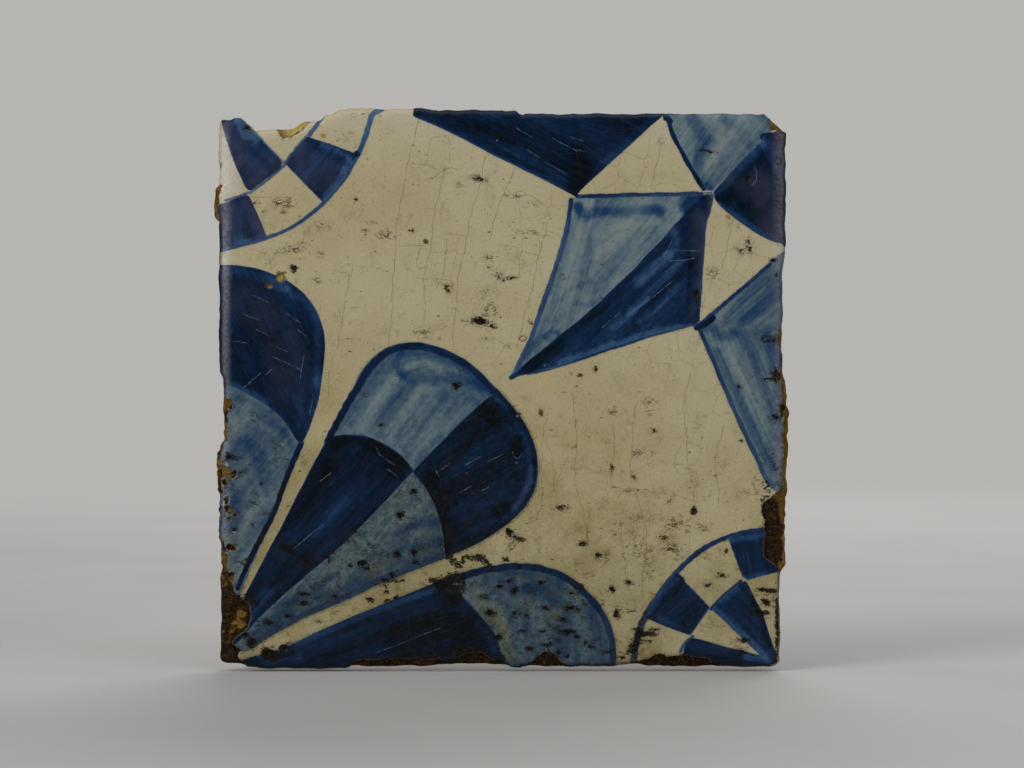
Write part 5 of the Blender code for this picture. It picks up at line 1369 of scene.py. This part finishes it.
    # Dark blue and black flecks on the most worn wash.
    fleck = n.math("MULTIPLY", n.step(0.595, 0.640, grit), n.attr("pepper"))
    colour = n.mix(n.math("MULTIPLY", fleck, 0.72), colour, n.mix(n.step(0.44, 0.56, mottle), seen(12, 14, 14), seen(22, 38, 62)))

    # Dirt rubbed into the worn places.
    grime_here = n.attr("grime")
    grime = n.step(0.665, 0.735, n.math("ADD", n.math("MULTIPLY", grime_here, 0.255), n.math("ADD", grit, n.math("MULTIPLY", n.math("MULTIPLY", curls, grime_here), 0.10))))
    colour = n.mix(n.math("MULTIPLY", n.math("MULTIPLY", grime_here, 0.20), painted), colour, seen(8, 12, 18))
    colour = n.mix(n.math("MULTIPLY", grime, 0.96), colour, n.mix(n.step(0.50, 0.60, mottle), seen(7, 5, 3), seen(26, 19, 9)))

    # Scratches through the paint, and hair rubbing over the thick cobalt.
    scratch = n.math("MULTIPLY", n.step(0.15, 0.03, n.math("ADD", n.attr("scratch"), n.math("MULTIPLY", wobble, 0.9))), n.step(0.36, 0.60, mottle, (0.24, 0.64)))
    colour = n.mix(n.math("MULTIPLY", scratch, n.math("SUBTRACT", 1.0, hole)), colour, seen(94, 106, 122))
    rub = n.noise(n.stretch(brush, (0.20, 8.0, 1.0)), 1.0, 1.0, 0.5)
    colour = n.mix(n.math("MULTIPLY", n.math("MULTIPLY", n.step(0.68, 0.80, rub), dark_in), 0.14), colour, seen(90, 104, 124))

    # The broken edge shows the thickness of the white glaze, with dirt behind it.
    broken = n.attr("broken")
    colour = n.mix(n.math("MULTIPLY", n.step(-0.30, -0.10, n.math("ADD", broken, n.math("MULTIPLY", jag, 0.25)), (0.0, 0.60)), n.math("SUBTRACT", 1.0, n.math("MULTIPLY", painted, 0.65))), colour, seen(140, 122, 96))
    colour = n.mix(n.math("MULTIPLY", n.step(-0.9, -0.2, n.math("ADD", broken, n.math("MULTIPLY", jag, 0.6))), n.step(0.46, 0.62, grit, (0.0, 0.85))), colour, seen(38, 26, 13))
    colour = n.mix(n.step(-0.06, 0.10, broken), colour, seen(60, 42, 22))

    n.put(colour, n.shader.inputs["Base Color"])
    matt = n.math("MAXIMUM", hole, n.math("MAXIMUM", grime, n.math("MULTIPLY", speck, 0.8, clamp=True)))
    rough = n.math("ADD", 0.17, n.math("MULTIPLY", grit, 0.15))
    rough = n.math("ADD", rough, n.math("MULTIPLY", bloom_and_sheen, 0.2))
    rough = n.math("ADD", rough, n.math("MULTIPLY", n.step(-0.3, 0.1, broken), 0.5))
    rough = n.math("ADD", rough, n.math("MULTIPLY", matt, 0.22), clamp=True)
    n.put(rough, n.shader.inputs["Roughness"])
    n.shader.inputs["Specular IOR Level"].default_value = 0.15
    n.shader.inputs["IOR"].default_value = 1.5

    # Fine relief: the brush ridges and the skin of the glaze. Pits and breaks are in the mesh.
    skin = n.math("ADD", n.math("MULTIPLY", n.noise(flat, 0.55, 2.0, 0.5), 0.7), n.math("MULTIPLY", hair, 0.3))
    n.put(n.bump(skin, 0.00009, 0.4), n.shader.inputs["Normal"])
    return material


def clay_material():
    material = bpy.data.materials.new("fired_clay")
    n = Nodes(material)
    mm = n.vec("SCALE", n.add("ShaderNodeTexCoord").outputs["Object"], scale=1000.0)
    big = n.noise(mm, 0.16, 4.0, 0.6)
    small = n.noise(mm, 1.2, 4.0, 0.65)
    grain = n.noise(mm, 4.5, 3.0, 0.7)
    tone = n.math("ADD", n.math("MULTIPLY", big, 0.6), n.math("MULTIPLY", small, 0.4))
    colour = n.ramp(tone, ((0.28, seen(56, 40, 14)), (0.45, seen(86, 64, 24)), (0.6, seen(114, 87, 38)), (0.78, seen(142, 116, 62))))
    # Dark stain that has soaked into the edges.
    soil = n.math("ADD", n.attr("soil"), n.math("MULTIPLY", n.math("SUBTRACT", n.noise(mm, 0.5, 5.0, 0.7), 0.5), 0.9))
    stained = n.ramp(small, ((0.35, seen(9, 6, 3)), (0.5, seen(26, 17, 7)), (0.68, seen(58, 38, 15))))
    darken_by = n.step(0.42, 0.85, soil)
    on_back = n.attr("back")
    colour = n.mix(n.math("MULTIPLY", darken_by, n.step(1.0, 0.0, on_back, (0.25, 1.0))), colour, stained)
    # The back keeps more of the bare buff clay, with a grey film of old lime mortar.
    buff = n.ramp(tone, ((0.3, seen(112, 88, 54)), (0.5, seen(140, 115, 76)), (0.7, seen(156, 134, 96))))
    colour = n.mix(n.math("MULTIPLY", on_back, 0.75), colour, buff)
    lime = n.math("MULTIPLY", n.step(0.54, 0.64, n.noise(mm, 0.075, 6.0, 0.68)), n.step(0.4, 0.6, n.noise(mm, 0.9, 4.0, 0.7), (0.35, 1.0)))
    colour = n.mix(n.math("MULTIPLY", n.math("MULTIPLY", lime, on_back), 0.75), colour, seen(152, 148, 136))
    # Freshly broken clay.
    colour = n.mix(n.attr("fresh"), colour, n.ramp(small, ((0.35, seen(140, 122, 62)), (0.65, seen(172, 156, 92)))))
    # Sand grains and pores.
    pore = n.voronoi(mm, 1.3)
    colour = n.mix(n.step(0.20, 0.10, pore, (0.0, 0.6)), colour, seen(48, 32, 18))
    pale = n.voronoi(n.vec("ADD", mm, (7.3, 2.1, 4.4)), 2.1)
    colour = n.mix(n.step(0.14, 0.08, pale, (0.0, 0.5)), colour, seen(196, 182, 150))
    colour = n.mix(n.step(0.47, 0.66, grain, (0.0, 0.42)), colour, seen(52, 37, 18))
    n.put(colour, n.shader.inputs["Base Color"])
    n.put(n.math("ADD", 0.78, n.math("MULTIPLY", small, 0.2)), n.shader.inputs["Roughness"])
    n.shader.inputs["Specular IOR Level"].default_value = 0.10
    normal = n.bump(small, 0.0006, 0.5)
    normal = n.bump(n.math("ADD", grain, n.step(0.25, 0.1, pore, (0.0, -0.8))), 0.0002, 0.6, normal)
    n.put(normal, n.shader.inputs["Normal"])
    return material


glaze.data.materials.append(glaze_material())
clay.data.materials.append(clay_material())
for piece, slot in ((glaze, "glaze"), (clay, "clay")):
    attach(piece, "root")
    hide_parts("tile")

# ---------------------------------------------------------------------------
# The studio
# ---------------------------------------------------------------------------
FLOOR_Z = -0.0664


def floor():
    size, steps = 1.6, 48
    rings = [0.0, 0.2, 0.5, 0.9, 1.6]
    points, faces = [(0.0, 0.0, FLOOR_Z)], []
    for radius in rings[1:]:
        points += [(radius * math.cos(2 * math.pi * k / steps), radius * math.sin(2 * math.pi * k / steps), FLOOR_Z) for k in range(steps)]
    for k in range(steps):
        faces.append((0, 1 + k, 1 + (k + 1) % steps))
        for r in range(len(rings) - 2):
            a, b = 1 + r * steps, 1 + (r + 1) * steps
            faces.append((a + k, b + k, b + (k + 1) % steps, a + (k + 1) % steps))
    data = bpy.data.meshes.new("floor")
    data.from_pydata(points, [], faces)
    piece = bpy.data.objects.new("floor", data)
    bpy.context.scene.collection.objects.link(piece)
    material = bpy.data.materials.new("pale_floor")
    n = Nodes(material)
    place = n.add("ShaderNodeTexCoord").outputs["Object"]
    n.put(n.ramp(n.noise(place, 14.0, 3.0, 0.5), ((0.3, (0.47, 0.463, 0.45, 1)), (0.7, (0.50, 0.493, 0.48, 1)))), n.shader.inputs["Base Color"])
    n.shader.inputs["Roughness"].default_value = 0.85
    n.shader.inputs["Specular IOR Level"].default_value = 0.2
    # The floor fades into the pale surroundings.
    clear = n.add("ShaderNodeBsdfTransparent")
    blend = n.add("ShaderNodeMixShader")
    n.put(n.step(0.28, 1.25, n.vec("LENGTH", n.stretch(place, (1.0, 1.0, 0.0)))), blend.inputs[0])
    out = n.tree.nodes["Material Output"]
    n.put(n.shader.outputs[0], blend.inputs[1])
    n.put(clear.outputs[0], blend.inputs[2])
    n.put(blend.outputs[0], out.inputs["Surface"])
    data.materials.append(material)


floor()

world = bpy.data.worlds.new("studio")
bpy.context.scene.world = world
world.use_nodes = True
tree = world.node_tree
tree.nodes.clear()
out = tree.nodes.new("ShaderNodeOutputWorld")
pale = tree.nodes.new("ShaderNodeBackground")
pale.inputs[0].default_value = (0.47, 0.465, 0.45, 1.0)
dim = tree.nodes.new("ShaderNodeBackground")
dim.inputs[0].default_value = (0.95, 0.97, 1.0, 1.0)
dim.inputs[1].default_value = 0.09
choose = tree.nodes.new("ShaderNodeMixShader")
path = tree.nodes.new("ShaderNodeLightPath")
tree.links.new(path.outputs["Is Camera Ray"], choose.inputs[0])
tree.links.new(dim.outputs[0], choose.inputs[1])
tree.links.new(pale.outputs[0], choose.inputs[2])
tree.links.new(choose.outputs[0], out.inputs["Surface"])


def softbox(name, place, at, size, power, colour=(1.0, 1.0, 1.0)):
    data = bpy.data.lights.new(name, "AREA")
    data.shape = "RECTANGLE"
    data.size, data.size_y = size
    data.energy = power
    data.color = colour
    lamp = bpy.data.objects.new(name, data)
    lamp.location = place
    lamp.rotation_euler = (Vector(at) - Vector(place)).to_track_quat("-Z", "Y").to_euler()
    bpy.context.scene.collection.objects.link(lamp)
    return lamp


softbox("key", (-0.95, -0.75, 0.55), (0, 0, 0), (0.7, 0.9), 8.6, (1.0, 0.99, 0.97))
softbox("fill", (1.05, -0.85, 0.45), (0, 0, 0), (0.9, 0.9), 4.2, (0.97, 0.98, 1.0))
softbox("over", (0.0, -0.35, 1.25), (0, 0, 0), (1.2, 1.0), 5.5)
softbox("back_light", (0.3, 1.2, 0.7), (0, 0, 0), (1.3, 1.1), 12.0)

# The picture is 1024 by 768, one grid unit a pixel, and looks straight at the face.
DISTANCE = 0.62
camera_data = bpy.data.cameras.new("camera")
camera_data.sensor_width = 36.0
camera_data.lens = 36.0 * DISTANCE / (1024 * U * MM)
camera = bpy.data.objects.new("camera", camera_data)
camera.location = ((512.0 - MID_X) * U * MM, -THICKNESS * MM - DISTANCE, (MID_Y - 384.0) * U * MM)
camera.rotation_euler = (math.radians(90.0), 0.0, 0.0)
bpy.context.scene.collection.objects.link(camera)
bpy.context.scene.camera = camera
bpy.context.scene.view_settings.view_transform = "Standard"
